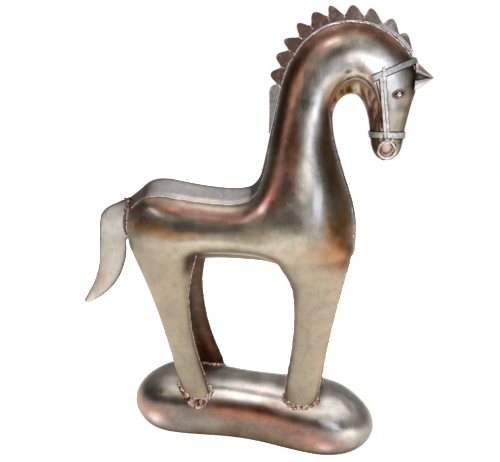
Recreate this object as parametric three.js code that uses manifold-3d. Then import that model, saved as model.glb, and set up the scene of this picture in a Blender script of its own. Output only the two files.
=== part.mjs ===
// A standing horse welded from dished metal sheet, on a pillow-shaped base. Millimetres, +Z up.
// The horse faces +X and its left side is +Y. The origin is the middle of the base's underside.
import * as THREE from "three";
import { mergeVertices } from "three/addons/utils/BufferGeometryUtils.js";
import Module from "manifold-3d";

const wasm = await Module();
wasm.setup();

// ---------------------------------------------------------------- driving dimensions
const GAP = 0.3; // air kept between pieces that touch
const SHEET = 2; // thickness of the straps and of the plates on the neck

// The body's stations from the stern to the muzzle. Each is a rib in the middle plane that runs from
// the upper ridge (x, z) to the lower ridge (x, z). The seams of the side sheet lie beside the ridges:
// half the width between a pair of seams, and how far along the rib the seam is from its ridge.
// The last number is how deeply the side sheet is dished, where 1 would be a half circle.
// upper ridge, lower ridge, upper seam half width and drop, lower seam half width and drop, dish
const STATIONS = [
  [-262, 484, -266, 404, 0, 30, 0, 2, 0.6], // stern, at the tail's root
  [-240, 500, -250, 374, 26, 30, 20, 8, 0.7],
  [-207, 524, -215, 360, 40, 30, 36, 20, 0.72],
  [-172, 530, -176, 360, 42, 30, 38, 20, 0.74], // hip
  [-140, 526, -138, 362, 42, 29, 38, 20, 0.75],
  [-106, 521, -100, 366, 41, 28, 38, 20, 0.76],
  [-66, 517, -58, 370, 40, 27, 38, 21, 0.78],
  [-28, 516, -14, 371, 39, 26, 38, 21, 0.78], // middle of the back
  [0, 521, 30, 370, 37, 24, 38, 21, 0.78],
  [13, 531, 68, 364, 34, 21, 38, 20, 0.78],
  [20, 542, 102, 366, 30, 17, 36, 20, 0.76],
  [25, 556, 136, 372, 26, 14, 34, 18, 0.74], // withers to elbow
  [29, 572, 172, 378, 22, 12, 33, 14, 0.74],
  [33, 590, 204, 396, 19, 10, 29, 4, 0.72],
  [37, 610, 208, 428, 16, 9, 20, 7, 0.68], // chest
  [41, 630, 207, 460, 14, 8, 17, 7, 0.64],
  [46, 652, 200, 495, 12, 7, 16, 7, 0.6],
  [51, 675, 188, 530, 11, 6, 15, 7, 0.58],
  [56, 698, 175, 566, 10, 5, 14, 7, 0.57],
  [63, 724, 164, 600, 9, 4, 13, 7, 0.57],
  [75, 752, 157, 630, 8, 4, 13, 7, 0.57],
  [96, 781, 155, 658, 8, 4, 14, 9, 0.57],
  [126, 805, 163, 680, 8, 4, 16, 14, 0.56],
  [160, 816, 176, 692, 8, 4, 19, 22, 0.54], // top of the arched neck
  [197, 816, 189, 694, 8, 4, 22, 28, 0.5],
  [230, 806, 199, 690, 8, 4, 24, 30, 0.44],
  [260, 787, 207, 681, 8, 4, 25, 30, 0.38],
  [284, 761, 213, 669, 8, 4, 25, 28, 0.34], // poll to jaw
  [296, 733, 217, 657, 8, 4, 24, 26, 0.3],
  [297, 704, 220, 645, 8, 4, 23, 24, 0.28],
  [291, 678, 222, 632, 8, 4, 21, 21, 0.28],
  [286, 653, 224, 618, 8, 4, 19, 18, 0.3],
  [282, 629, 226, 606, 8, 4, 16, 15, 0.32],
  [280, 606, 230, 594, 8, 4, 13, 12, 0.34],
  [275, 590, 238, 583, 8, 4, 10, 7, 0.34],
  [264, 580, 247, 578, 7, 2, 7, 2, 0.3], // end of the muzzle
];
const BODY = {
  perStation: 2, // ribs from one station to the next
  sideSteps: 8,
  ridgeSteps: 2,
  legSteps: 10,
  roundness: 1.5, // 1 folds a ridge sharply, 2 rounds it
  softEdge: 2, // how far in from a seam the dish begins
  sweeps: 900, // rounds that settle the dished sheet
  hurry: 1.85, // over-correction in each round
};

const LENS_POWER = 0.8; // below 1 the lens of a leg's inner face is fuller towards its edges

// Each leg hangs from a stretch of stations. Its rear and front edges are (x, z) points below the
// body, and the edges' distance from the middle plane runs evenly from the top to the foot.
const LEGS = {
  hind: {
    stations: [1, 5],
    rear: [[-228, 340], [-205, 290], [-184, 236], [-165, 178], [-150, 134], [-138, 98], [-120, 46]],
    front: [[-112, 340], [-118, 298], [-115, 244], [-105, 192], [-90, 145], [-78, 112], [-62, 46]],
    spread: 58, // the edges' distance from the middle plane at the foot
    dish: 0.62,
    innerDish: 14,
  },
  fore: {
    stations: [9, 13],
    rear: [[90, 338], [98, 298], [99, 252], [95, 196], [88, 148], [84, 112], [84, 46]],
    front: [[189.5, 342], [180, 298], [170, 244], [161, 190], [155, 146], [151, 112], [141, 46]],
    spread: 43,
    dish: 0.62,
    innerDish: 13,
  },
};

const BASE = {
  lobeX: 156, // the lobes' centres, either side of the origin
  lobeWidth: 87.5, // half width across a lobe
  endReach: 107, // from a lobe's centre to the end of the base
  waistWidth: 73.5, // half width midway
  height: 104,
  fall: 0.02, // how much lower the top is for each millimetre towards +X
  widest: 31, // height of the widest level
  tuck: { side: 8.5, end: 13 }, // how far the sheet turns in again below it
  fullness: { side: 2.8, end: 1.9 }, // 2 is an ellipse, more is squarer in the shoulders
  fanSteps: 12, // spokes round each lobe's end, and along each side
  sideSteps: 14,
  rise: 7,
};

const MANE = {
  // (x, z) of the notch before each tooth and of the tooth's tip, from the withers to the poll
  notches: [[54, 711], [60, 741], [73, 770], [92, 791], [112, 809], [141, 823],
    [169, 824], [202, 821], [233, 808], [261, 790], [283, 766]],
  tips: [[39, 730], [50, 762], [64, 789], [87, 815], [115, 833], [144, 842.5], [182.5, 842], [215, 835],
    [251, 817], [275, 792]],
  tipRound: 0.22, // share of each tooth's flank that its round tip takes
  tipSteps: 4,
  slit: 1, // width of the saw cut in each notch
  slitFoot: 4, // what the cuts leave above the neck
  stations: [18.4, 27.1],
};

// A flat blade: upper edge (x, z) and lower edge (x, z) from the root to the tip.
const TAIL = {
  rows: [
    [-264.5, 485, -268.5, 405],
    [-286, 476, -272.5, 392],
    [-309, 465, -272.5, 377],
    [-325, 450, -275, 358],
    [-331, 431, -281, 338],
    [-334, 404, -291, 315],
    [-336, 370, -305, 294],
    [-341, 334, -323, 275],
    [-353, 299, -343, 259],
    [-369, 271, -361, 248],
    [-384, 247, -379, 240.5],
  ],
  middle: 7, // thickness midway between the edges
  edge: 2, // thickness at the edges
  faceSteps: [0, 0.2, 0.5, 0.8, 1], // shares of the way from edge to edge
};

// The plain plate between the withers and the first tooth: its rear edge, and its rounded top corner.
const TONGUE = {
  stations: [14.6, 18.3],
  rear: [[36.6, 622], [37.6, 660], [37, 698]],
  corner: [38, 711],
  end: [51, 712],
};


// The bridle's strips by the ends of their middle lines, (x, z), and their width.
const CROWN_STRAP = { from: [222, 718.5], to: [303, 753.5], width: 10 };
const CHEEK_STRAP = { from: [238, 714.5], to: [252.1, 632.4], width: 12 };
const NOSEBAND = { from: [205, 624.2], to: [300, 622.8], width: 13 };
const RING = { x: 253.6, z: 598.8, y: 24, radius: 14.4, wire: 2.1, around: 20, section: 6 };
const HANGER = { x: 253, width: 8, top: 616.5, bottom: 606, outer: 28 };
const EYE = { x: 268, z: 693.5, y: 24, ball: 5, length: 12, height: 7.5, lid: 2.4, around: 14, section: 5 };

// A cone along a line from the head to the tip, and the smaller cone that hollows it from outside.
const EAR = {
  root: [296, 722],
  tip: [323.4, 719.8],
  y: 12,
  rootHeight: 22, // half height and half width where it meets the head
  rootWidth: 10,
  bluntness: 0.04,
  buried: -0.4, // how far the cone starts inside the head, as a share of its length
  hollow: { scale: 0.7, shift: 5.5, reach: 0.9 },
  around: 12,
};

const COLOURS = {
  body: [0xa89c84, 0.34, 1],
  base: [0x9c8a7c, 0.36, 1],
  tail: [0xb5a898, 0.4, 1],
  mane: [0x7a6658, 0.42, 1],
  strap: [0x8d8070, 0.38, 1],
  fitting: [0xb9ae96, 0.3, 1],
};

// ---------------------------------------------------------------- curves and meshes
const mix = (a, b, t) => a + (b - a) * t;
const mixPoint = (p, q, t) => p.map((value, n) => mix(value, q[n], t));
const ease = (t) => (1 - Math.cos(Math.PI * t)) / 2;

// The smooth curve through rows of numbers, where t counts the rows from 0.
function through(rows, t) {
  const last = rows.length - 1;
  const k = Math.min(Math.floor(t), last - 1);
  const beyond = (end, inside) => end.map((value, n) => 2 * value - inside[n]);
  const a = k === 0 ? beyond(rows[0], rows[1]) : rows[k - 1];
  const b = rows[k];
  const c = rows[k + 1];
  const d = k + 2 > last ? beyond(rows[last], rows[last - 1]) : rows[k + 2];
  const f = t - k;
  return b.map((value, n) => {
    const slope = c[n] - a[n];
    const bend = 2 * a[n] - 5 * value + 4 * c[n] - d[n];
    const twist = 3 * value - a[n] - 3 * c[n] + d[n];
    return value + 0.5 * (slope * f + bend * f ** 2 + twist * f ** 3);
  });
}

// The quads of a grid of points as triangles, with their fronts on the side where a step along a row
// turns clockwise into a step to the next row; turned gives the other side.
function gridTriangles(rows, turned = false) {
  const triangles = [];
  for (let i = 0; i + 1 < rows.length; i++)
    for (let j = 0; j + 1 < rows[i].length; j++) {
      const [a, b, c, d] = [rows[i][j], rows[i + 1][j], rows[i + 1][j + 1], rows[i][j + 1]];
      if (turned) triangles.push([a, b, c], [a, c, d]);
      else triangles.push([a, d, c], [a, c, b]);
    }
  return triangles;
}

// One closed geometry from triangles of points: equal points become one vertex, slivers go.
function geometryOf(triangles) {
  const positions = new Float32Array(triangles.flat(2));
  const loose = new THREE.BufferGeometry().setAttribute("position", new THREE.BufferAttribute(positions, 3));
  const merged = mergeVertices(loose, 1e-3);
  const index = merged.index.array;
  const kept = [];
  for (let i = 0; i < index.length; i += 3) {
    const [a, b, c] = index.slice(i, i + 3);
    if (a !== b && b !== c && c !== a) kept.push(a, b, c);
  }
  merged.setIndex(kept);
  return merged;
}

// The same geometry with every vertex moved out along its normal.
function inflated(geometry, distance) {
  const grown = geometry.clone();
  grown.computeVertexNormals();
  const position = grown.getAttribute("position");
  const normal = grown.getAttribute("normal");
  for (let i = 0; i < position.count; i++)
    position.setXYZ(
      i,
      position.getX(i) + distance * normal.getX(i),
      position.getY(i) + distance * normal.getY(i),
      position.getZ(i) + distance * normal.getZ(i),
    );
  grown.deleteAttribute("normal");
  return grown;
}

function solidOf(geometry) {
  const bare = geometry.clone();
  bare.deleteAttribute("normal");
  bare.deleteAttribute("uv");
  const merged = mergeVertices(bare, 1e-3);
  return new wasm.Manifold(
    new wasm.Mesh({
      numProp: 3,
      vertProperties: merged.getAttribute("position").array,
      triVerts: new Uint32Array(merged.index.array),
    }),
  );
}

function geometryOfSolid(solid) {
  const mesh = solid.getMesh();
  const geometry = new THREE.BufferGeometry();
  geometry.setAttribute("position", new THREE.BufferAttribute(new Float32Array(mesh.vertProperties), 3));
  geometry.setIndex(Array.from(mesh.triVerts));
  return geometry;
}

// An outline in the (x, z) plane carried across from y = low to y = high.
function slab(shape, low, high) {
  const depth = high - low;
  const geometry = new THREE.ExtrudeGeometry(shape, { depth, bevelEnabled: false, curveSegments: 4 });
  geometry.rotateX(Math.PI / 2);
  return geometry.translate(0, high, 0);
}

function polygon(points) {
  return new THREE.Shape(points.map(([x, z]) => new THREE.Vector2(x, z)));
}

// A closed skin over rings of points, flat at both ends.
function loft(rings) {
  const closed = rings.map((ring) => [...ring, ring[0]]);
  const triangles = gridTriangles(closed);
  for (let k = 1; k + 1 < rings[0].length; k++) {
    triangles.push([rings[0][0], rings[0][k + 1], rings[0][k]]);
    triangles.push([rings.at(-1)[0], rings.at(-1)[k], rings.at(-1)[k + 1]]);
  }
  return geometryOf(triangles);
}

// ---------------------------------------------------------------- the body
const ribCount = (STATIONS.length - 1) * BODY.perStation;

function rib(i) {
  const [tx, tz, rx, rz, topWidth, topDrop, lowWidth, lowDrop, dish] = through(STATIONS, i / BODY.perStation);
  const length = Math.hypot(rx - tx, rz - tz);
  const along = (distance) => [mix(tx, rx, distance / length), mix(tz, rz, distance / length)];
  return { top: [tx, tz], low: [rx, rz], length, along, topWidth, topDrop, lowWidth, lowDrop, dish };
}

// The outline of the side sheet as a flat mesh of (x, z) points, with the distance from the middle
// plane and the dish given along its edges.
function flatSheet() {
  const points = [];
  const edges = [];
  const add = (point, edge) => {
    points.push(point);
    edges.push(edge);
    return points.length - 1;
  };
  const inLeg = (i) =>
    Object.values(LEGS).some(({ stations: [a, b] }) => i > a * BODY.perStation && i < b * BODY.perStation);
  const trunk = [];
  for (let i = 0; i <= ribCount; i++) {
    const { length, along, topWidth, topDrop, lowWidth, lowDrop, dish } = rib(i);
    const row = [];
    for (let j = 0; j <= BODY.sideSteps; j++) {
      const share = ease(j / BODY.sideSteps);
      const end = i === 0 || i === ribCount || j === 0 || (j === BODY.sideSteps && !inLeg(i));
      const edge = end ? { y: mix(topWidth, lowWidth, share), dish } : null;
      row.push(add(along(mix(topDrop, length - lowDrop, share)), edge));
    }
    trunk.push(row);
  }
  const legs = {};
  for (const [name, leg] of Object.entries(LEGS)) legs[name] = flatLeg(leg, trunk, points, edges, add);
  return { points, edges, trunk, legs };
}

function flatLeg(leg, trunk, points, edges, add) {
  const [first, last] = leg.stations.map((station) => station * BODY.perStation);
  const top = trunk.slice(first, last + 1).map((row) => row[BODY.sideSteps]);
  const [rearTop, frontTop] = [top[0], top.at(-1)];
  const rear = [points[rearTop], ...leg.rear];
  const front = [points[frontTop], ...leg.front];
  const rows = [top];
  for (let r = 1; r <= BODY.legSteps; r++) {
    const v = r / BODY.legSteps;
    const from = through(rear, v * (rear.length - 1));
    const to = through(front, v * (front.length - 1));
    rows.push(
      top.map((vertex, n) => {
        const across = n / (top.length - 1);
        const chord = mixPoint(points[rearTop], points[frontTop], across);
        const lift = points[vertex].map((value, m) => (value - chord[m]) * (1 - v) ** 2);
        const share = mix(across, ease(across), v);
        const point = mixPoint(from, to, share).map((value, m) => value + lift[m]);
        const corner = { 0: rearTop, [top.length - 1]: frontTop }[n];
        if (corner === undefined) return add(point, null);
        return add(point, { y: mix(edges[corner].y, leg.spread, v), dish: leg.dish });
      }),
    );
  }
  return rows;
}

// Blows the flat sheet out of its plane, as a dished plate bulges between edges that stay put. The
// edge's distance spreads evenly inwards, and the bulge is that of a membrane under even pressure.
function dishedDistances({ points, edges, trunk, legs }) {
  const neighbours = points.map(() => new Map());
  const area = points.map(() => 0);
  const sheets = [trunk, ...Object.values(legs)];
  for (const [a, b, c] of sheets.flatMap((rows) => gridTriangles(rows))) {
    for (const [p, q, r] of [[a, b, c], [b, c, a], [c, a, b]]) {
      const u = points[p].map((value, n) => value - points[r][n]);
      const v = points[q].map((value, n) => value - points[r][n]);
      const cross = Math.abs(u[0] * v[1] - u[1] * v[0]);
      const weight = (u[0] * v[0] + u[1] * v[1]) / cross / 2;
      neighbours[p].set(q, (neighbours[p].get(q) ?? 0) + weight);
      neighbours[q].set(p, (neighbours[q].get(p) ?? 0) + weight);
      area[r] += cross / 6;
    }
  }
  const relax = (start, load) => {
    const value = points.map((_, n) => (edges[n] ? start(edges[n]) : 0));
    for (let sweep = 0; sweep < BODY.sweeps; sweep++)
      for (let n = 0; n < points.length; n++) {
        if (edges[n]) continue;
        let sum = load * area[n];
        let total = 0;
        for (const [m, weight] of neighbours[n]) {
          sum += weight * value[m];
          total += weight;
        }
        value[n] += BODY.hurry * (sum / total - value[n]);
      }
    return value;
  };
  const level = relax((edge) => edge.y, 0);
  const dish = relax((edge) => edge.dish, 0);
  const pressure = relax(() => 0, 1);
  const soft = BODY.softEdge;
  return points.map((_, n) => level[n] + dish[n] * (Math.sqrt(2 * pressure[n] + soft ** 2) - soft));
}

// Half of the body, on the side of -Y, as triangles; the ridges lie in the middle plane.
function bodyHalf() {
  const sheet = flatSheet();
  const distance = dishedDistances(sheet);
  const at = (vertex) => [sheet.points[vertex][0], -distance[vertex], sheet.points[vertex][1]];
  const side = sheet.trunk.map((row) => row.map(at));
  const upper = [];
  const lowerEdge = side.map((row) => row.at(-1));
  const triangles = [];
  for (const [name, leg] of Object.entries(LEGS)) {
    const first = leg.stations[0] * BODY.perStation;
    const outer = sheet.legs[name].map((row) => row.map(at));
    const inner = outer.map((row) => innerRow(row, leg.innerDish));
    triangles.push(...gridTriangles(transposed(outer)));
    triangles.push(...gridTriangles(transposed(inner), true));
    triangles.push(...gridTriangles(transposed([outer.at(-1), inner.at(-1)])));
    inner[0].forEach((point, n) => (lowerEdge[first + n] = point));
  }
  const lower = [];
  for (let i = 0; i <= ribCount; i++) {
    const { top, low } = rib(i);
    upper.push(ridgeSteps([top[0], 0, top[1]], side[i][0]));
    lower.push(ridgeSteps([low[0], 0, low[1]], lowerEdge[i]).reverse());
  }
  triangles.push(...gridTriangles(upper), ...gridTriangles(side), ...gridTriangles(lower));
  return { triangles, end: [...upper.at(-1), ...side.at(-1).slice(1), ...lower.at(-1).slice(1)] };
}

// The inner face behind a row of a leg's outer face: a lens between the same two edges.
function innerRow(row, dish) {
  return row.map(([x, y, z], n) => {
    if (n === 0 || n === row.length - 1) return [x, y, z];
    const across = n / (row.length - 1);
    const edge = mix(row[0][1], row.at(-1)[1], across);
    return [x, edge + dish * Math.sin(Math.PI * across) ** LENS_POWER, z];
  });
}

function transposed(rows) {
  return rows[0].map((_, n) => rows.map((row) => row[n]));
}

// Points from a ridge to a seam, over a strip that is rounded at the ridge.
function ridgeSteps(ridge, seam) {
  const steps = [];
  for (let a = 0; a <= BODY.ridgeSteps; a++) {
    const out = a / BODY.ridgeSteps;
    const drop = out ** BODY.roundness;
    steps.push([mix(ridge[0], seam[0], drop), mix(ridge[1], seam[1], out), mix(ridge[2], seam[2], drop)]);
  }
  return steps;
}

function bodyGeometry() {
  const mirror = ([x, y, z]) => [x, -y, z];
  const { triangles, end } = bodyHalf();
  const whole = [...triangles, ...triangles.map(([a, b, c]) => [mirror(a), mirror(c), mirror(b)])];
  for (let k = 0; k + 1 < end.length; k++) {
    whole.push([end[k], end[k + 1], mirror(end[k + 1])]);
    whole.push([end[k], mirror(end[k + 1]), mirror(end[k])]);
  }
  return geometryOf(whole);
}

// ---------------------------------------------------------------- the base
// Spokes of the base, anticlockwise: a half turn about a lobe's centre, then one long side, twice.
// A spoke's endness is 1 at the tip of the base and 0 along its sides.
function baseSpokes() {
  const spokes = [];
  for (const end of [1, -1]) {
    for (let n = 0; n < BASE.fanSteps; n++) {
      const angle = Math.PI * (n / BASE.fanSteps - 0.5);
      const stretch = BASE.endReach / BASE.lobeWidth;
      const direction = [end * stretch * Math.cos(angle), end * Math.sin(angle)];
      spokes.push({ centre: end * BASE.lobeX, reach: BASE.lobeWidth, direction, endness: Math.cos(angle) });
    }
    for (let n = 0; n < BASE.sideSteps; n++) {
      const along = 1 - (2 * n) / BASE.sideSteps;
      const reach = mix(BASE.waistWidth, BASE.lobeWidth, ease(Math.abs(along)));
      spokes.push({ centre: end * along * BASE.lobeX, reach, direction: [0, end], endness: 0 });
    }
  }
  return [...spokes, spokes[0]];
}

// A pillow with two lobes, full at the shoulders, tucked in at the ground and flat below.
function baseGeometry() {
  const rows = baseSpokes().map(({ centre, reach, direction, endness }) => {
    const fullness = mix(BASE.fullness.side, BASE.fullness.end, endness);
    const tuck = mix(BASE.tuck.side, BASE.tuck.end, endness);
    const at = (distance, z) => {
      const x = centre + direction[0] * distance;
      return [x, direction[1] * distance, z - (BASE.fall * x * z) / BASE.height];
    };
    const spoke = [];
    for (let k = 0; k <= BASE.rise; k++) {
      const angle = (Math.PI / 2) * (1 - k / BASE.rise);
      const up = Math.sin(angle) ** (2 / fullness);
      spoke.push(at(reach * Math.cos(angle) ** (2 / fullness), mix(BASE.widest, BASE.height, up)));
    }
    return [...spoke, at(reach - tuck / 4, BASE.widest / 2), at(reach - tuck, 0)];
  });
  const triangles = gridTriangles(rows);
  for (let n = 0; n + 1 < rows.length; n++) triangles.push([rows[n + 1].at(-1), rows[n].at(-1), [0, 0, 0]]);
  return geometryOf(triangles);
}

// ---------------------------------------------------------------- mane, tongue and tail
const ridgePoint = (station) => through(STATIONS, station).slice(0, 2);

// The upper ridge between two stations, moved out of the body by the gap.
function ridgeEdge([from, to]) {
  const points = [];
  const steps = Math.round((to - from) * BODY.perStation * 2);
  for (let n = 0; n <= steps; n++) {
    const station = mix(from, to, n / steps);
    const [x, z] = ridgePoint(station);
    const [behindX, behindZ] = ridgePoint(station - BODY.perStation / 10);
    const [aheadX, aheadZ] = ridgePoint(station + BODY.perStation / 10);
    const length = Math.hypot(aheadX - behindX, aheadZ - behindZ);
    const out = GAP + SHEET / 4;
    points.push([x - (out * (aheadZ - behindZ)) / length, z + (out * (aheadX - behindX)) / length]);
  }
  return points;
}

// The toothed plate on the crest: each tooth is cut round at its tip and freed by a saw cut.
function maneGeometry() {
  const crest = ridgeEdge(MANE.stations);
  const outline = new THREE.Path();
  outline.moveTo(...crest[0]);
  MANE.tips.forEach((tip, n) => {
    const [before, after] = [MANE.notches[n], MANE.notches[n + 1]];
    const rise = mixPoint(tip, before, MANE.tipRound);
    const fall = mixPoint(tip, after, MANE.tipRound);
    const control = tip.map((value, m) => 2 * value - (rise[m] + fall[m]) / 2);
    outline.lineTo(...before);
    outline.lineTo(...rise);
    outline.quadraticCurveTo(...control, ...fall);
    if (n + 1 < MANE.tips.length) sawCut(outline, after, crest);
  });
  outline.lineTo(...MANE.notches.at(-1));
  for (const point of crest.toReversed()) outline.lineTo(...point);
  return slab(new THREE.Shape(outline.getPoints(MANE.tipSteps)), -SHEET / 2, SHEET / 2);
}

// A narrow slot from a notch towards the nearest point of the crest.
function sawCut(outline, notch, crest) {
  const gapTo = ([x, z]) => Math.hypot(x - notch[0], z - notch[1]);
  const foot = crest.reduce((best, point) => (gapTo(point) < gapTo(best) ? point : best));
  const length = gapTo(foot);
  const down = foot.map((value, m) => (value - notch[m]) / length);
  const across = [-down[1] * MANE.slit / 2, down[0] * MANE.slit / 2];
  const depth = Math.max(length - MANE.slitFoot, MANE.slit);
  outline.lineTo(notch[0] - across[0], notch[1] - across[1]);
  outline.lineTo(notch[0] - across[0] + down[0] * depth, notch[1] - across[1] + down[1] * depth);
  outline.lineTo(notch[0] + across[0] + down[0] * depth, notch[1] + across[1] + down[1] * depth);
  outline.lineTo(notch[0] + across[0], notch[1] + across[1]);
}

function tongueGeometry() {
  const neck = ridgeEdge(TONGUE.stations);
  const shape = new THREE.Shape();
  shape.moveTo(...neck[0]);
  for (const point of TONGUE.rear) shape.lineTo(...point);
  shape.quadraticCurveTo(...TONGUE.corner, ...TONGUE.end);
  for (const point of neck.toReversed()) shape.lineTo(...point);
  return slab(shape, -SHEET / 2, SHEET / 2);
}

// A blade with a lens section: two faces that are thickest midway between the edges.
function tailGeometry() {
  const rings = TAIL.rows.map(([upX, upZ, lowX, lowZ]) => {
    const half = (share) => mix(TAIL.edge, TAIL.middle, Math.sin(Math.PI * share)) / 2;
    const pointAt = (side, share) => [mix(upX, lowX, share), side * half(share), mix(upZ, lowZ, share)];
    const face = (side) => TAIL.faceSteps.map((share) => pointAt(side, share));
    return [...face(1), ...face(-1).reverse()];
  });
  return loft(rings);
}

// ---------------------------------------------------------------- ears, eyes and bridle
const body = bodyGeometry();
const nearBody = solidOf(inflated(body, GAP));
const strapSkin = solidOf(inflated(body, GAP + SHEET)).subtract(nearBody);

function bar(from, to, width) {
  const [dx, dz] = [to[0] - from[0], to[1] - from[1]];
  const reach = width / 2 / Math.hypot(dx, dz);
  const corner = (point, side) => [point[0] - side * dz * reach, point[1] + side * dx * reach];
  return polygon([corner(from, 1), corner(from, -1), corner(to, -1), corner(to, 1)]);
}

// A strap is the part of the skin over the head that lies within an outline.
function strap(shape, low, high) {
  return strapSkin.intersect(solidOf(slab(shape, low, high)));
}

const HEAD_REACH = 60; // further from the middle plane than any of the head
const SIDES = { right: -1, left: 1 };
const spanOf = (side) => (side > 0 ? [0, HEAD_REACH] : [-HEAD_REACH, 0]);

function cheekStrap(side) {
  const { from, to, width } = CHEEK_STRAP;
  return strap(bar(from, to, width), ...spanOf(side));
}

function ring(side, clearance = 0) {
  const { x, y, z, radius, wire, around, section } = RING;
  const profile = [];
  for (let n = 0; n <= section; n++) {
    const angle = (2 * Math.PI * n) / section;
    const thick = wire + clearance;
    profile.push(new THREE.Vector2(radius + thick * Math.cos(angle), thick * Math.sin(angle)));
  }
  return new THREE.LatheGeometry(profile, around).translate(x, side * y, z);
}

// A strap with its bore for the ring: it hangs from the noseband and folds round the wire.
function hanger(side) {
  const { x, width, top, bottom, outer } = HANGER;
  const shape = bar([x, bottom], [x, top], width);
  const block = solidOf(side > 0 ? slab(shape, 0, outer) : slab(shape, -outer, 0));
  return block.subtract(nearBody).subtract(solidOf(ring(side, 2 * GAP)));
}

// An almond rim of round wire, raised about the eye.
function eyelids(side) {
  const profile = [];
  for (let n = 0; n <= EYE.section; n++) {
    const angle = (2 * Math.PI * n) / EYE.section;
    profile.push(new THREE.Vector2(EYE.length + EYE.lid * Math.cos(angle), EYE.lid * Math.sin(angle)));
  }
  const rim = new THREE.LatheGeometry(profile, EYE.around);
  rim.scale(1, 1, EYE.height / EYE.length);
  return solidOf(rim.translate(EYE.x, side * EYE.y, EYE.z)).subtract(nearBody);
}

function eyeball(side) {
  const ball = new THREE.SphereGeometry(EYE.ball, EYE.around, EYE.around / 2);
  return solidOf(ball.translate(EYE.x, side * (EYE.y - 1), EYE.z)).subtract(nearBody);
}

// A ring of the ear's cone, at a share of the way from its root to its tip.
function earRing(side, share, scale = 1, shift = 0) {
  const [x, z] = mixPoint(EAR.root, EAR.tip, share);
  const shrink = scale * Math.min(Math.max(1 - share, EAR.bluntness), 1);
  const points = [];
  for (let n = 0; n < EAR.around; n++) {
    const angle = (2 * Math.PI * n) / EAR.around;
    const y = side * (EAR.y + shift) + EAR.rootWidth * shrink * Math.sin(angle);
    points.push([x, y, z + EAR.rootHeight * shrink * Math.cos(angle)]);
  }
  return points;
}

// A cone of folded sheet that points forward, open along its outer side.
function ear(side) {
  const cone = loft([1, 0, EAR.buried].map((share) => earRing(side, share)));
  const { scale, shift, reach } = EAR.hollow;
  const hollow = loft([reach, EAR.buried / 2].map((share) => earRing(side, share, scale, shift)));
  const { from, to, width } = CROWN_STRAP;
  const strapPath = solidOf(slab(bar(from, to, width + 2 * GAP), -HEAD_REACH, HEAD_REACH));
  return solidOf(cone).subtract(solidOf(hollow)).subtract(nearBody).subtract(strapPath);
}

const group = new THREE.Group();
function addPiece(name, geometry, [colour, roughness, metalness]) {
  const material = new THREE.MeshStandardMaterial({ color: colour, roughness, metalness });
  const mesh = new THREE.Mesh(geometry, material);
  mesh.name = name;
  group.add(mesh);
}

const base = baseGeometry();
const aboveBase = solidOf(inflated(base, GAP));
addPiece("base", base, COLOURS.base);
addPiece("body", geometryOfSolid(solidOf(body).subtract(aboveBase)), COLOURS.body);
addPiece("tail", tailGeometry(), COLOURS.tail);
addPiece("mane_crest", maneGeometry(), COLOURS.mane);
addPiece("mane_tongue", tongueGeometry(), COLOURS.mane);
const crownStrap = strap(bar(CROWN_STRAP.from, CROWN_STRAP.to, CROWN_STRAP.width), -HEAD_REACH, HEAD_REACH);
const noseband = strap(bar(NOSEBAND.from, NOSEBAND.to, NOSEBAND.width), -HEAD_REACH, HEAD_REACH);
addPiece("crown_strap", geometryOfSolid(crownStrap), COLOURS.strap);
addPiece("noseband", geometryOfSolid(noseband), COLOURS.strap);
for (const [name, side] of Object.entries(SIDES)) {
  addPiece(`cheek_strap_${name}`, geometryOfSolid(cheekStrap(side)), COLOURS.strap);
  addPiece(`ring_hanger_${name}`, geometryOfSolid(hanger(side)), COLOURS.strap);
  addPiece(`bit_ring_${name}`, ring(side), COLOURS.fitting);
  addPiece(`eyelids_${name}`, geometryOfSolid(eyelids(side)), COLOURS.fitting);
  addPiece(`eye_${name}`, geometryOfSolid(eyeball(side)), COLOURS.fitting);
  addPiece(`ear_${name}`, geometryOfSolid(ear(side)), COLOURS.tail);
}

export default group;
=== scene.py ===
"""A standing horse of dished and welded metal sheet on a pillow-shaped base, built round its CAD frame.

Sizes in this file are millimetres until a mesh is made. +X is the way the horse faces and +Y its left.
"""
import math

import bmesh
import bpy
import numpy as np
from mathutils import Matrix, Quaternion, Vector


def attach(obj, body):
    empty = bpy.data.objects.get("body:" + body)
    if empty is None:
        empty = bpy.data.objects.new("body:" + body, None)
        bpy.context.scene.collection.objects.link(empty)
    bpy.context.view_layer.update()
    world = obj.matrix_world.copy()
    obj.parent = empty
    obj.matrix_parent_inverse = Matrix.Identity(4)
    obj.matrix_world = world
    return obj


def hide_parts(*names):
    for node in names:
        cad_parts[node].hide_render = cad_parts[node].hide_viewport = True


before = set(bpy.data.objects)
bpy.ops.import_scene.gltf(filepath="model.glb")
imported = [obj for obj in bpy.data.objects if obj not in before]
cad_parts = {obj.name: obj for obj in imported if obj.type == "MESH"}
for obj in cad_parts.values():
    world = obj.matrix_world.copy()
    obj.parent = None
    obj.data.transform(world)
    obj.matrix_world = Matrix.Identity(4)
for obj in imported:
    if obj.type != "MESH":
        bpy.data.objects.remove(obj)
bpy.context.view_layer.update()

bl_info = {
    "name": "Sheet metal horse",
    "version": (1, 0, 0),
    "blender": (4, 5, 0),
    "location": "View3D > Sidebar > Horse",
    "description": "Builds a welded sheet metal horse with its bridle, mane and base",
    "category": "Object",
}

MM = 0.001
BODY_NAME = "root"
SIDES = {"right": -1, "left": 1}

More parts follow.
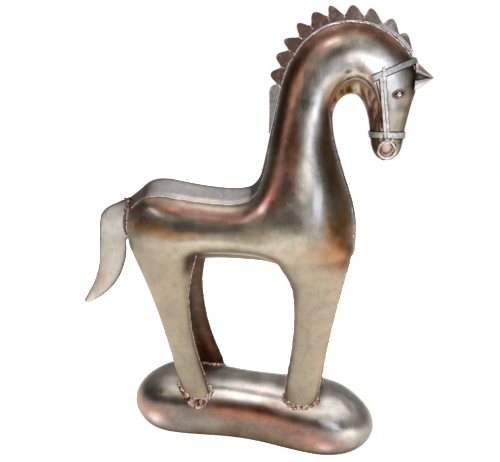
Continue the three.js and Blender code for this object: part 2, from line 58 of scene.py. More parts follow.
# ---------------------------------------------------------------- driving dimensions
# upper ridge x z, lower ridge x z, upper seam half width and drop, lower seam half width and drop, dish
STATIONS = np.array([
    [-262, 484, -266, 404, 0, 30, 0, 2, 0.6],
    [-240, 500, -250, 374, 26, 30, 20, 8, 0.7],
    [-207, 524, -215, 360, 40, 30, 36, 20, 0.72],
    [-172, 530, -176, 360, 42, 30, 38, 20, 0.74],
    [-140, 526, -138, 362, 42, 29, 38, 20, 0.75],
    [-106, 521, -100, 366, 41, 28, 38, 20, 0.76],
    [-66, 517, -58, 370, 40, 27, 38, 21, 0.78],
    [-28, 516, -14, 371, 39, 26, 38, 21, 0.78],
    [0, 521, 30, 370, 37, 24, 38, 21, 0.78],
    [13, 531, 68, 364, 34, 21, 38, 20, 0.78],
    [20, 542, 102, 366, 30, 17, 36, 20, 0.76],
    [25, 556, 136, 372, 26, 14, 34, 18, 0.74],
    [29, 572, 172, 378, 22, 12, 33, 14, 0.74],
    [33, 590, 204, 396, 19, 10, 29, 4, 0.72],
    [37, 610, 208, 428, 16, 9, 20, 7, 0.68],
    [41, 630, 207, 460, 14, 8, 17, 7, 0.64],
    [46, 652, 200, 495, 12, 7, 16, 7, 0.6],
    [51, 675, 188, 530, 11, 6, 15, 7, 0.58],
    [56, 698, 175, 566, 10, 5, 14, 7, 0.57],
    [63, 724, 164, 600, 9, 4, 13, 7, 0.57],
    [75, 752, 157, 630, 8, 4, 13, 7, 0.57],
    [96, 781, 155, 658, 8, 4, 14, 9, 0.57],
    [126, 805, 163, 680, 8, 4, 16, 14, 0.56],
    [160, 816, 176, 692, 8, 4, 19, 22, 0.54],
    [197, 816, 189, 694, 8, 4, 22, 28, 0.5],
    [230, 806, 199, 690, 8, 4, 24, 30, 0.44],
    [260, 787, 207, 681, 8, 4, 25, 30, 0.38],
    [284, 761, 213, 669, 8, 4, 25, 28, 0.34],
    [296, 733, 217, 657, 8, 4, 24, 26, 0.3],
    [297, 704, 220, 645, 8, 4, 23, 24, 0.28],
    [291, 678, 222, 632, 8, 4, 21, 21, 0.28],
    [286, 653, 224, 618, 8, 4, 19, 18, 0.3],
    [282, 629, 226, 606, 8, 4, 16, 15, 0.32],
    [280, 606, 230, 594, 8, 4, 13, 12, 0.34],
    [275, 590, 238, 583, 8, 4, 10, 7, 0.34],
    [264, 580, 247, 578, 7, 2, 7, 2, 0.3],
])
BODY = {
    "per_station": 8,
    "side_steps": 36,
    "ridge_steps": 8,
    "leg_steps": 64,
    "roundness": 1.5,
    "soft_edge": 2.0,
    "dent_pressure": 60,
}
LENS_POWER = 0.8
LEGS = {
    "hind": {
        "stations": (1, 5),
        "rear": [(-228, 340), (-205, 290), (-184, 236), (-165, 178), (-150, 134), (-138, 98), (-120, 46)],
        "front": [(-112, 340), (-118, 298), (-115, 244), (-105, 192), (-90, 145), (-78, 112), (-62, 46)],
        "spread": 58,
        "dish": 0.62,
        "inner_dish": 14,
    },
    "fore": {
        "stations": (9, 13),
        "rear": [(90, 338), (98, 298), (99, 252), (95, 196), (88, 148), (84, 112), (84, 46)],
        "front": [(189.5, 342), (180, 298), (170, 244), (161, 190), (155, 146), (151, 112), (141, 46)],
        "spread": 43,
        "dish": 0.62,
        "inner_dish": 13,
    },
}
BASE = {
    "lobe_x": 156, "lobe_width": 87.5, "end_reach": 107, "waist_width": 73.5, "height": 104, "fall": 0.02,
    "widest": 31, "tuck": (8.5, 13), "fullness": (2.8, 1.9), "fan_steps": 40, "side_steps": 64, "rise": 30,
}
MANE = {
    "notches": [(54, 711), (60, 741), (73, 770), (92, 791), (112, 809), (141, 823), (169, 824), (202, 821),
                (233, 808), (261, 790), (283, 766)],
    "tips": [(39, 730), (50, 762), (64, 789), (87, 815), (115, 833), (144, 842.5), (182.5, 842), (215, 835),
             (251, 817), (275, 792)],
    "tip_round": 0.74,
    "notch_lift": 2.6,
    "columns": 41,
    "gap": 0.5,
    "cup": 0.5,
    "strip": (24.9, 27.0),
    "strip_y": -2.2,
    "strip_half": 0.9,
    "stations": (18.4, 27.1),
}
TONGUE = {
    "stations": (14.6, 18.3),
    "rear": [(36.6, 622), (37.6, 660), (37, 698)],
    "corner": (38, 711),
    "end": (51, 712),
}
TAIL = {
    "rows": [
        (-259, 488, -264, 402), (-286, 476, -272.5, 392), (-309, 465, -272.5, 377),
        (-325, 450, -275, 358), (-331, 431, -281, 338), (-334, 404, -291, 315), (-336, 370, -305, 294),
        (-341, 334, -323, 275), (-353, 299, -343, 259), (-369, 271, -361, 248), (-384, 247, -379, 240.5),
    ],
    "middle": 7,
    "edge": 2,
    "bend": 0.5,
    "painted_light_above": 385,
    "root_x": -266,
}
CROWN_STRAP = {"from": (223, 719), "to": (303, 753.5), "width": 9.4, "stations": (24, 29.6), "brow": 2.4}
CHEEK_STRAP = {
    "from": (237, 738), "to": (253.2, 619), "stations": (24, 34.5),
    # how far down it crosses the crown strap, and for both crossings the half width and the extra lift
    "crown_at": 13, "over_crown": (9, 2.4), "over_nose": (11, 2.2), "climb": 4,
}
NOSEBAND = {"from": (205, 624.2), "to": (300, 622.8), "width": 10.5, "stations": (29, 34.6), "brow": 0.3}
# The dark sheets and tubes laid as painted shadow round the bridle: how far a sheet reaches past a strap, its
# thickness, lift and half thickness, and the radius and lift of the tube along the jaw crease.
SHADOW_SHEET = {"reach": 1.7, "thickness": 0.8, "lift": 0.35, "half": 0.5, "crease_radius": 0.9, "crease_lift": 0.3}
STRAP_LIFT = 1.2
JAW_CREASE = [(229, 714), (234, 698), (238, 680), (241, 657), (243, 634)]
RING = {"x": 253.6, "z": 598.8, "y": 24, "radius": 14.4, "wire": 2.4}
HANGER = {
    "straight_z": (618, 615.5), "z": 613.2, "fold": 2.9, "width": 8, "thinned": 0.8,
    "blobs": [((0, 2.4, 613.0), (4.2, 2.6, 4.6), 7), ((8.5, 0.5, 615.5), (3.0, 2.0, 2.2), 8)],
}
EYE = {"x": 268, "z": 693.5, "ball": 4.6, "length": 10.4, "height": 6.6, "lid": 2.1, "tilt": 1.5,
       "stations": (25, 33), "lid_lift": 0.8, "sunk": 0.8, "socket": 0.4}
EAR = {"root": (296, 722), "tip": (323.4, 719.8), "y": 12, "root_height": 22, "root_width": 10,
       "mouth": (0.16, 0.07), "lip": 0.24, "lip_turn": 0.65, "half": 0.5}


# ---------------------------------------------------------------- sizes and colours the user may change
def linear(text):
    """An sRGB hex colour as linear red, green and blue."""
    parts = [int(text[n:n + 2], 16) / 255 for n in (1, 3, 5)]
    return tuple(p / 12.92 if p <= 0.04045 else ((p + 0.055) / 1.055) ** 2.4 for p in parts)


def length(name, description, millimetres):
    return bpy.props.FloatProperty(
        name=name, description=description, default=millimetres * MM, min=0.0, unit="LENGTH",
        subtype="DISTANCE")


def colour(name, description, text):
    return bpy.props.FloatVectorProperty(
        name=name, description=description, default=linear(text), size=3, min=0.0, max=1.0, subtype="COLOR")


class HorseSizes(bpy.types.PropertyGroup):
    strip: length("Strip", "Thickness of the bridle's strips", 2.0)
    plate: length("Plate", "Thickness of the mane's plates", 2.0)
    bead: length("Weld bead", "Radius of the beads along the seams", 1.5)
    foot_bead: length("Foot weld", "Radius of the beads round the feet", 4.2)
    dents: length("Dents", "Depth of the hand-beaten unevenness of the sheet", 0.45)
    wrinkles: length("Wrinkles", "Depth of the folds in the throat", 1.6)


# Besides the metal's own tints, bright, silver and rose also lay painted highlights, and umber, peat, moss
# and the darkest brown lay painted shade and painted shadow, through the zone tables and the parts below.
class HorseColours(bpy.types.PropertyGroup):
    champagne: colour("Champagne", "Bare steel under a faint straw-coloured heat tint", "#BCB4A2")
    silver: colour("Silver", "Freshly brushed sheet", "#CFCDCB")
    copper: colour("Copper", "Copper-coloured heat tint", "#A96A52")
    umber: colour("Umber", "Dark brown heat tint", "#5C3B2B")
    peat: colour("Peat", "Olive brown heat tint", "#6B502C")
    moss: colour("Moss", "Greenish grey sheet", "#757161")
    plum: colour("Plum", "Purple-brown heat tint", "#7A5F59")
    rose: colour("Rose", "Pink heat tint", "#B98478")
    amber: colour("Amber", "Yellow heat tint", "#AD7A45")
    slate: colour("Slate", "Grey sheet", "#A6A29C")
    # This colour also lays painted shade and painted shadow: the dark sheets under the straps and ring, in
    # the jaw crease and in the eyes, the ear's fold, the legs' inner faces, the base's foot and dark patches
    # on the sheet.
    soot_and_shade: colour("Soot", "Soot and grime in the seams", "#2B1D16")
    mane: colour("Mane", "Brown heat tint of the mane", "#8F7268")
    # This colour also lays painted highlights on the sheet and the base, and painted light on the tail's
    # upper part.
    bright: colour("Bright", "Sheet and weld metal ground back to bare bright metal", "#EAE6E1")
    floor: colour("Floor", "Painted floor", "#F4F3F1")


def sizes():
    return bpy.context.scene.horse_sizes


def tone(name):
    return np.array(getattr(bpy.context.scene.horse_colours, name))


# ---------------------------------------------------------------- curves and grids
def mix(a, b, t):
    return a + (b - a) * t


def ease(t):
    return (1 - np.cos(np.pi * t)) / 2


def unit(v):
    return v / np.maximum(np.linalg.norm(v, axis=-1, keepdims=True), 1e-9)


def through(rows, t):
    """The smooth curve through rows of numbers; t counts the rows from 0 (a Catmull-Rom spline)."""
    rows, t = np.asarray(rows, float), np.asarray(t, float)
    ends = np.vstack([2 * rows[0] - rows[1], rows, 2 * rows[-1] - rows[-2]])
    k = np.clip(np.floor(t).astype(int), 0, len(rows) - 2)
    f = (t - k)[..., None]
    a, b, c, d = (ends[k + n] for n in range(4))
    return b + 0.5 * ((c - a) * f + (2 * a - 5 * b + 4 * c - d) * f ** 2 + (3 * b - a - 3 * c + d) * f ** 3)


def evenly(path, step):
    """The path's points again, at even distances of about step."""
    path = np.asarray(path, float)
    along = np.concatenate([[0], np.cumsum(np.linalg.norm(np.diff(path, axis=0), axis=1))])
    at = np.linspace(0, along[-1], max(int(along[-1] / step), 2) + 1)
    return np.stack([np.interp(at, along, path[:, n]) for n in range(path.shape[1])], axis=-1)


def picked(path, start, end, count):
    """The given number of the path's points, at even steps of its list from start to end."""
    return path[np.linspace(start, end, count).round().astype(int)]


def nearest(path, point):
    """The number of the path's point that lies nearest."""
    return np.argmin(((path - point) ** 2).sum(1))


def parabola(first, control, last, count):
    """A curve from first to last, drawn towards the control point."""
    t = np.linspace(0, 1, count)[:, None]
    return (1 - t) ** 2 * first + 2 * t * (1 - t) * control + t ** 2 * last


def within(value, low, high, rise, fall):
    """1 between low and high: it climbs from 0 over rise after low, and falls over fall before high."""
    return np.clip((value - low) / rise, 0, 1) * np.clip((high - value) / fall, 0, 1)


def bell(value, middle, reach):
    return np.exp(-((value - middle) / reach) ** 2)


def upright(drawing, y):
    """A drawing in (x, z) as points at distance y along Y from the middle plane."""
    return np.stack(np.broadcast_arrays(drawing[..., 0], y, drawing[..., 1]), axis=-1)


def mirrored(points, side=1):
    """Points of the near half, side of -Y, for the left side (1); for the right (-1) as they are."""
    return points * np.array([1, -side, 1])


def globe(around, down):
    """The unit sphere as a grid of points, round the Z axis and from pole to pole."""
    turn, fall = np.meshgrid(np.linspace(0, 2 * np.pi, around), np.linspace(0, np.pi, down), indexing="ij")
    ball = np.stack([np.cos(turn) * np.sin(fall), np.sin(turn) * np.sin(fall), np.cos(fall)], axis=-1)
    ball[-1] = ball[0]
    return ball


WAVES = 28
WAVELENGTHS = (0.7, 1.6)
USUAL_PEAK = 1.6


def wobble(points, wavelength, seed):
    """Smooth noise of about -1 to 1: the sum of sine waves in random directions, near one wavelength."""
    rng = np.random.default_rng(seed)
    directions = unit(rng.normal(size=(WAVES, 3)))
    waves = directions * (2 * np.pi / (wavelength * rng.uniform(*WAVELENGTHS, (WAVES, 1))))
    phase = rng.uniform(0, 2 * np.pi, WAVES)
    return np.sin(points @ waves.T + phase).sum(-1) * math.sqrt(2 / WAVES) / USUAL_PEAK


def wobbles(points, wavelength, seeds):
    """Several such noises side by side."""
    return np.stack([wobble(points, wavelength, seed) for seed in seeds], axis=-1)


def grid_faces(index, turned=False):
    """The quads of a grid of vertex numbers, each as two triangles."""
    a, b, c, d = index[:-1, :-1], index[1:, :-1], index[1:, 1:], index[:-1, 1:]
    pair = ((a, b, c), (a, c, d)) if turned else ((a, d, c), (a, c, b))
    return np.concatenate([np.stack(corners, -1).reshape(-1, 3) for corners in pair])


NO_SEAM = 60.0
SHEET_LAYERS = {"tint": (0.5, 0.5, 0.5), "seam": NO_SEAM}
MERGED_BELOW = 1e-3


class Skin:
    """Patches of triangles with a value of each layer at every point, gathered for one mesh. The layers
    are the tint, the distance from the nearest seam, how satin the sheet is, and how near its rim."""

    def __init__(self, **layers):
        self.points, self.faces, self.count = [], [], 0
        self.layers = {name: (default, []) for name, default in layers.items()}

    def add(self, points, faces, **values):
        points = np.asarray(points, float)
        self.points.append(points)
        self.faces.append(np.asarray(faces) + self.count)
        for name, (default, gathered) in self.layers.items():
            value = np.asarray(values.get(name, default), float)
            value = value.reshape(-1, *np.shape(default))
            gathered.append(np.broadcast_to(value, (len(points),) + np.shape(default)))
        self.count += len(points)

    def patch(self, grid, turned=False, **values):
        index = np.arange(grid.shape[0] * grid.shape[1]).reshape(grid.shape[:2])
        self.add(grid.reshape(-1, 3), grid_faces(index, turned), **values)

    def piece(self, name, material, replaces, slot, sharp):
        """Merges equal points, drops faces that closed up and pairs that lie on each other in the middle
        plane, makes the mesh and hands it to the frame."""
        points = np.concatenate(self.points)
        faces = np.concatenate(self.faces)
        _, kept, where = np.unique(
            np.round(points / MERGED_BELOW), axis=0, return_index=True, return_inverse=True)
        faces = where.reshape(-1)[faces]
        whole = (faces != np.roll(faces, 1, axis=1)).all(1)
        _, same, times_used = np.unique(
            np.sort(faces, axis=1), axis=0, return_inverse=True, return_counts=True)
        whole &= times_used[same.reshape(-1)] == 1
        mesh = bpy.data.meshes.new(name)
        mesh.from_pydata((points[kept] * MM).tolist(), [], faces[whole].tolist())
        for layer, (default, gathered) in self.layers.items():
            values = np.concatenate(gathered)[kept]
            if np.ndim(default):
                values = np.concatenate([values, np.ones((len(values), 1))], axis=1)
                mesh.attributes.new(layer, "FLOAT_COLOR", "POINT").data.foreach_set("color", values.ravel())
            else:
                mesh.attributes.new(layer, "FLOAT", "POINT").data.foreach_set("value", values.ravel())
        shell = bmesh.new()
        shell.from_mesh(mesh)
        bmesh.ops.recalc_face_normals(shell, faces=shell.faces)
        shell.to_mesh(mesh)
        shell.free()
        mesh.shade_smooth()
        mesh.set_sharp_from_angle(angle=math.radians(sharp))
        mesh.materials.append(material)
        made = bpy.data.objects.new(name, mesh)
        bpy.context.scene.collection.objects.link(made)
        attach(made, BODY_NAME)
        if replaces:
            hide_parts(*replaces)


RIM_BULGE = 0.8
RIM_ON_FACE = 0.6


def thick_sheet(skin, grid, half, **values):
    """A plate round a grid of middle points: two faces half a thickness either side along the grid's
    normal, joined round the rim by a strip whose middle bulges by a share of the half thickness."""
    out = unit(np.cross(np.gradient(grid, axis=0), np.gradient(grid, axis=1))).reshape(-1, 3)
    flat = grid.reshape(-1, 3)
    count = len(flat)
    index = np.arange(count).reshape(grid.shape[:2])
    border = np.concatenate([index[0, :], index[1:, -1], index[-1, -2::-1], index[-2:0:-1, 0]])
    edge = flat[border]
    run = unit(np.roll(edge, -1, axis=0) - np.roll(edge, 1, axis=0))
    outward = unit(np.cross(run, out[border]))
    middle = edge + outward * half * RIM_BULGE
    bumper = np.arange(len(border)) + 2 * count
    ring, bumper = np.append(border, border[0]), np.append(bumper, bumper[0])
    faces = np.concatenate([
        grid_faces(index, True), grid_faces(index + count),
        grid_faces(np.stack([ring, bumper])), grid_faces(np.stack([bumper, ring + count])),
    ])
    points = np.concatenate([flat + half * out, flat - half * out, middle])
    rimness = np.concatenate([np.zeros(2 * count), np.ones(len(border))])
    rimness[border] = rimness[border + count] = RIM_ON_FACE
    skin.add(points, faces, rim=rimness, **values)


def rod(path, run, radius, around, squeeze):
    """Circles of the given radii square to the run at each point of the path, squeezed along Y."""
    first = unit(np.cross(run, [0.0, 1.0, 0.0]))[:, None]
    second = np.cross(run, first[:, 0])[:, None]
    angle = np.linspace(0, 2 * np.pi, around + 1)[None, :, None]
    return path[:, None] + radius[:, None, None] * (
        np.cos(angle) * first + squeeze * np.sin(angle) * second)


def tube(skin, path, radius, around, squeeze=1.0, **values):
    """A rod along the path that closes to a point at each end, over three steps of the path."""
    ends = np.minimum(np.arange(len(path)), np.arange(len(path))[::-1])
    radius = np.broadcast_to(radius, len(path)) * np.sqrt(np.clip(ends / 3, 0, 1))
    skin.patch(rod(path, unit(np.gradient(path, axis=0)), radius, around, squeeze), **values)


# How a bead is laid; the lengths of its waves, its drift and its thinnest place are in radii.
BEAD = {"step": 0.9, "around": 8, "swell": 9, "ripple": 2.1, "wander": 14, "drift": 0.25, "thinnest": 0.3}


def bead(skin, path, radius, seed, ripple=0.22, lumps=0.35, **values):
    """A weld bead: a rod along a seam whose radius swells with each ripple of the weld pool, and which
    wanders and thickens unevenly as a hand-held torch lays it."""
    path = evenly(path, BEAD["step"])
    along = np.arange(len(path)) * BEAD["step"]
    uneven = wobble(path, BEAD["swell"] * radius, seed)
    pool = np.abs(np.sin(np.pi * along / (BEAD["ripple"] * radius) + 2 * uneven))
    wander = wobbles(path, BEAD["wander"] * radius, (seed + 1, seed + 2, seed + 3))
    thick = np.maximum(radius * (1 + ripple * (pool - 0.5) + lumps * uneven), BEAD["thinnest"] * radius)
    tube(skin, path + BEAD["drift"] * radius * wander, thick, BEAD["around"], **values)


LUMP = {"around": 15, "down": 9, "wavelength": 1.6, "uneven": 0.22}


def blob(skin, centre, reach, seed, **values):
    """A spatter lump: an ellipsoid with the given half sizes whose surface is pushed in and out."""
    ball = globe(LUMP["around"], LUMP["down"])
    uneven = 1 + LUMP["uneven"] * wobble(ball + seed, LUMP["wavelength"], seed)
    uneven[:, [0, -1]] = 1
    uneven[-1] = uneven[0]
    skin.patch(centre + ball * reach * uneven[..., None], **values)


# ---------------------------------------------------------------- the dished side sheet
def flat_sheet():
    """The side sheet laid flat: points (x, z), the triangles, what is given along its edges, and each
    point's place as (station, share), where share runs 0 to 1 down a rib and 1 to 2 down a leg."""
    per, steps = BODY["per_station"], BODY["side_steps"]
    station = np.arange((len(STATIONS) - 1) * per + 1) / per
    row = through(STATIONS, station)
    top, low = row[:, 0:2], row[:, 2:4]
    reach = np.linalg.norm(low - top, axis=1)
    share = ease(np.arange(steps + 1) / steps)
    distance = mix(row[:, 5, None], (reach - row[:, 7])[:, None], share)
    points = top[:, None] + (low - top)[:, None] / reach[:, None, None] * distance[..., None]
    level = mix(row[:, 4, None], row[:, 6, None], share)
    dish = np.repeat(row[:, 8, None], steps + 1, axis=1)
    fixed = np.zeros(points.shape[:2], bool)
    fixed[[0, -1], :] = True
    fixed[:, 0] = True
    roots = [leg["stations"] for leg in LEGS.values()]
    fixed[:, -1] = [not any(first < at < last for first, last in roots) for at in station]
    trunk = np.arange(points[..., 0].size).reshape(points.shape[:2])
    flat = {
        "points": points.reshape(-1, 2), "level": level.ravel(), "dish": dish.ravel(), "fixed": fixed.ravel(),
        "place": np.stack(np.broadcast_arrays(station[:, None], share[None]), -1).reshape(-1, 2),
    }
    legs = {name: flat_leg(leg, flat, trunk) for name, leg in LEGS.items()}
    faces = np.concatenate([grid_faces(rows) for rows in (trunk, *legs.values())])
    return flat, faces, trunk, legs


def flat_leg(leg, flat, trunk):
    """A leg's rows: each runs between the rear and front edge curves, and keeps less and less of the
    arch of the ribs' lower ends as it comes down."""
    per = BODY["per_station"]
    first, last = (station * per for station in leg["stations"])
    top = trunk[first:last + 1, -1]
    corner = flat["points"][top[[0, -1]]]
    down = (np.arange(1, BODY["leg_steps"] + 1) / BODY["leg_steps"])[:, None]
    rear = through(np.vstack([corner[0], leg["rear"]]), down[:, 0] * len(leg["rear"]))
    front = through(np.vstack([corner[1], leg["front"]]), down[:, 0] * len(leg["front"]))
    across = np.linspace(0, 1, len(top))
    lift = flat["points"][top] - mix(corner[0], corner[1], across[:, None])
    share = mix(across, ease(across), down)[..., None]
    points = mix(rear[:, None], front[:, None], share) + lift * (1 - down[..., None]) ** 2
    width = flat["level"][top[[0, -1]]]
    level = mix(mix(width[0], width[1], across), leg["spread"], down)
    place = np.stack(np.broadcast_arrays(mix(*leg["stations"], across)[None], 1 + down), -1)
    fixed = np.zeros(level.shape, bool)
    fixed[:, [0, -1]] = True
    count = len(flat["level"])
    for name, more in (("points", points), ("level", level), ("fixed", fixed), ("place", place),
                       ("dish", np.full(level.shape, leg["dish"]))):
        flat[name] = np.concatenate([flat[name], more.reshape((-1,) + flat[name].shape[1:])])
    return np.vstack([top, np.arange(level.size).reshape(level.shape) + count])


def settled(flat, faces, given, load):
    """Solves for the value that evens out over the sheet from what its edges are given, and bulges where
    the sheet is loaded (a membrane's equation on the triangles, by conjugate gradients)."""
    points, fixed = flat["points"], flat["fixed"]
    ends, weights, area = [], [], np.zeros(len(points))
    for n in range(3):
        p, q, r = faces[:, n], faces[:, (n + 1) % 3], faces[:, (n + 2) % 3]
        u, v = points[p] - points[r], points[q] - points[r]
        cross = np.abs(u[:, 0] * v[:, 1] - u[:, 1] * v[:, 0])
        ends.append(np.stack([p, q]))
        weights.append((u * v).sum(1) / cross / 2)
        area += np.bincount(r, cross / 6, len(points))
    (p, q), weight = np.concatenate(ends, axis=1), np.concatenate(weights)

    def stretched(value):
        pull = weight * (value[p] - value[q])
        force = np.bincount(p, pull, len(points)) - np.bincount(q, pull, len(points))
        return np.where(fixed, 0, force)

    stiffness = np.bincount(p, weight, len(points)) + np.bincount(q, weight, len(points))
    value = np.where(fixed, given, 0.0)
    rest = np.where(fixed, 0, load * area - stretched(value))
    ready = rest / stiffness
    heading, power = ready, rest @ ready
    for _ in range(2500):
        if power < 1e-9:
            break
        force = stretched(heading)
        step = power / (heading @ force)
        value, rest = value + step * heading, rest - step * force
        ready = rest / stiffness
        power, before = rest @ ready, power
        heading = ready + power / before * heading
    return value


# Where the throat is creased: stations and shares between which it is, and how each sets in and ends.
THROAT_SIDE = ((21, 32, 2, 2), (0.86, 1, 0.08, 0.05))
THROAT_BELOW = (19.5, 34, 2, 3)


def folds(points, seed):
    """Creases that run across the throat, from -0.6 in the furrows to about 1.4 on the ridges."""
    return 2 * np.abs(wobble(points * [1.0, 0.3, 0.6], 22, seed)) - 0.6


def side_sheet():
    """Half of the body's skin, on the side of -Y, as grids of points and of places (station, share).
    Distance from the middle plane = level + dish x (root of (2 x pressure + soft squared) - soft)."""
    flat, faces, trunk, legs = flat_sheet()
    level = settled(flat, faces, flat["level"], 0)
    dish = settled(flat, faces, flat["dish"], 0)
    pressure = np.maximum(settled(flat, faces, flat["level"] * 0, 1), 0)
    soft = BODY["soft_edge"]
    points = upright(flat["points"], -level - dish * (np.sqrt(2 * pressure + soft ** 2) - soft))
    dents = sizes().dents / MM * np.clip(pressure / BODY["dent_pressure"], 0, 1)
    points[:, 1] -= dents * (wobble(points, 80, 3) + 0.35 * wobble(points, 26, 4))
    station, share = flat["place"].T
    throat = within(station, *THROAT_SIDE[0]) * within(share, *THROAT_SIDE[1])
    points[:, 1] -= 0.6 * sizes().wrinkles / MM * throat * folds(points, 13)
    return {
        "side": points[trunk], "legs": {name: points[rows] for name, rows in legs.items()},
        "side_place": flat["place"][trunk],
        "leg_places": {name: flat["place"][rows] for name, rows in legs.items()},
    }


def inner_face(outer, dish):
    """A lens between the edges of a leg's outer face, bulging towards the other leg."""
    across = np.linspace(0, 1, outer.shape[1])
    inner = outer.copy()
    edge = mix(outer[:, :1, 1], outer[:, -1:, 1], across)
    inner[..., 1] = edge + dish * np.sin(np.pi * across) ** LENS_POWER
    inner[:, [0, -1]] = outer[:, [0, -1]]
    return inner


def ridge_strip(ridge, seam, steps):
    """Rows from a ridge in the middle plane to the seam: level with the ridge first, then falling off."""
    out = np.linspace(0, 1, steps + 1)[None, :, None]
    drop = out ** BODY["roundness"]
    rows = mix(ridge[:, None], seam[:, None], drop)
    rows[..., 1:2] = mix(ridge[:, None, 1:2], seam[:, None, 1:2], out)
    return rows


def body_grids():
    """Every grid of the body's near half, by name."""
    sheet = side_sheet()
    station = sheet["side_place"][:, 0, 0]
    row = through(STATIONS, station)
    lower_edge = sheet["side"][:, -1].copy()
    inner = {}
    for name, leg in LEGS.items():
        inner[name] = inner_face(sheet["legs"][name], leg["inner_dish"])
        first = leg["stations"][0] * BODY["per_station"]
        lower_edge[first:first + inner[name].shape[1]] = inner[name][0]
    upper = ridge_strip(upright(row[:, 0:2], 0), sheet["side"][:, 0], BODY["ridge_steps"])
    lower = ridge_strip(upright(row[:, 2:4], 0), lower_edge, BODY["ridge_steps"])[:, ::-1].copy()
    out = np.sin(np.pi * np.linspace(0, 1, lower.shape[1])) ** 0.7
    depth = sizes().wrinkles / MM * within(station, *THROAT_BELOW)[:, None] * out * folds(lower, 12)
    lower += depth[..., None] * np.array([0.3, -1.0, -0.5])
    return {**sheet, "inner": inner, "upper": upper, "lower": lower, "station": station}


GRIDS = {}


def grids():
    if not GRIDS:
        GRIDS.update(body_grids())
    return GRIDS


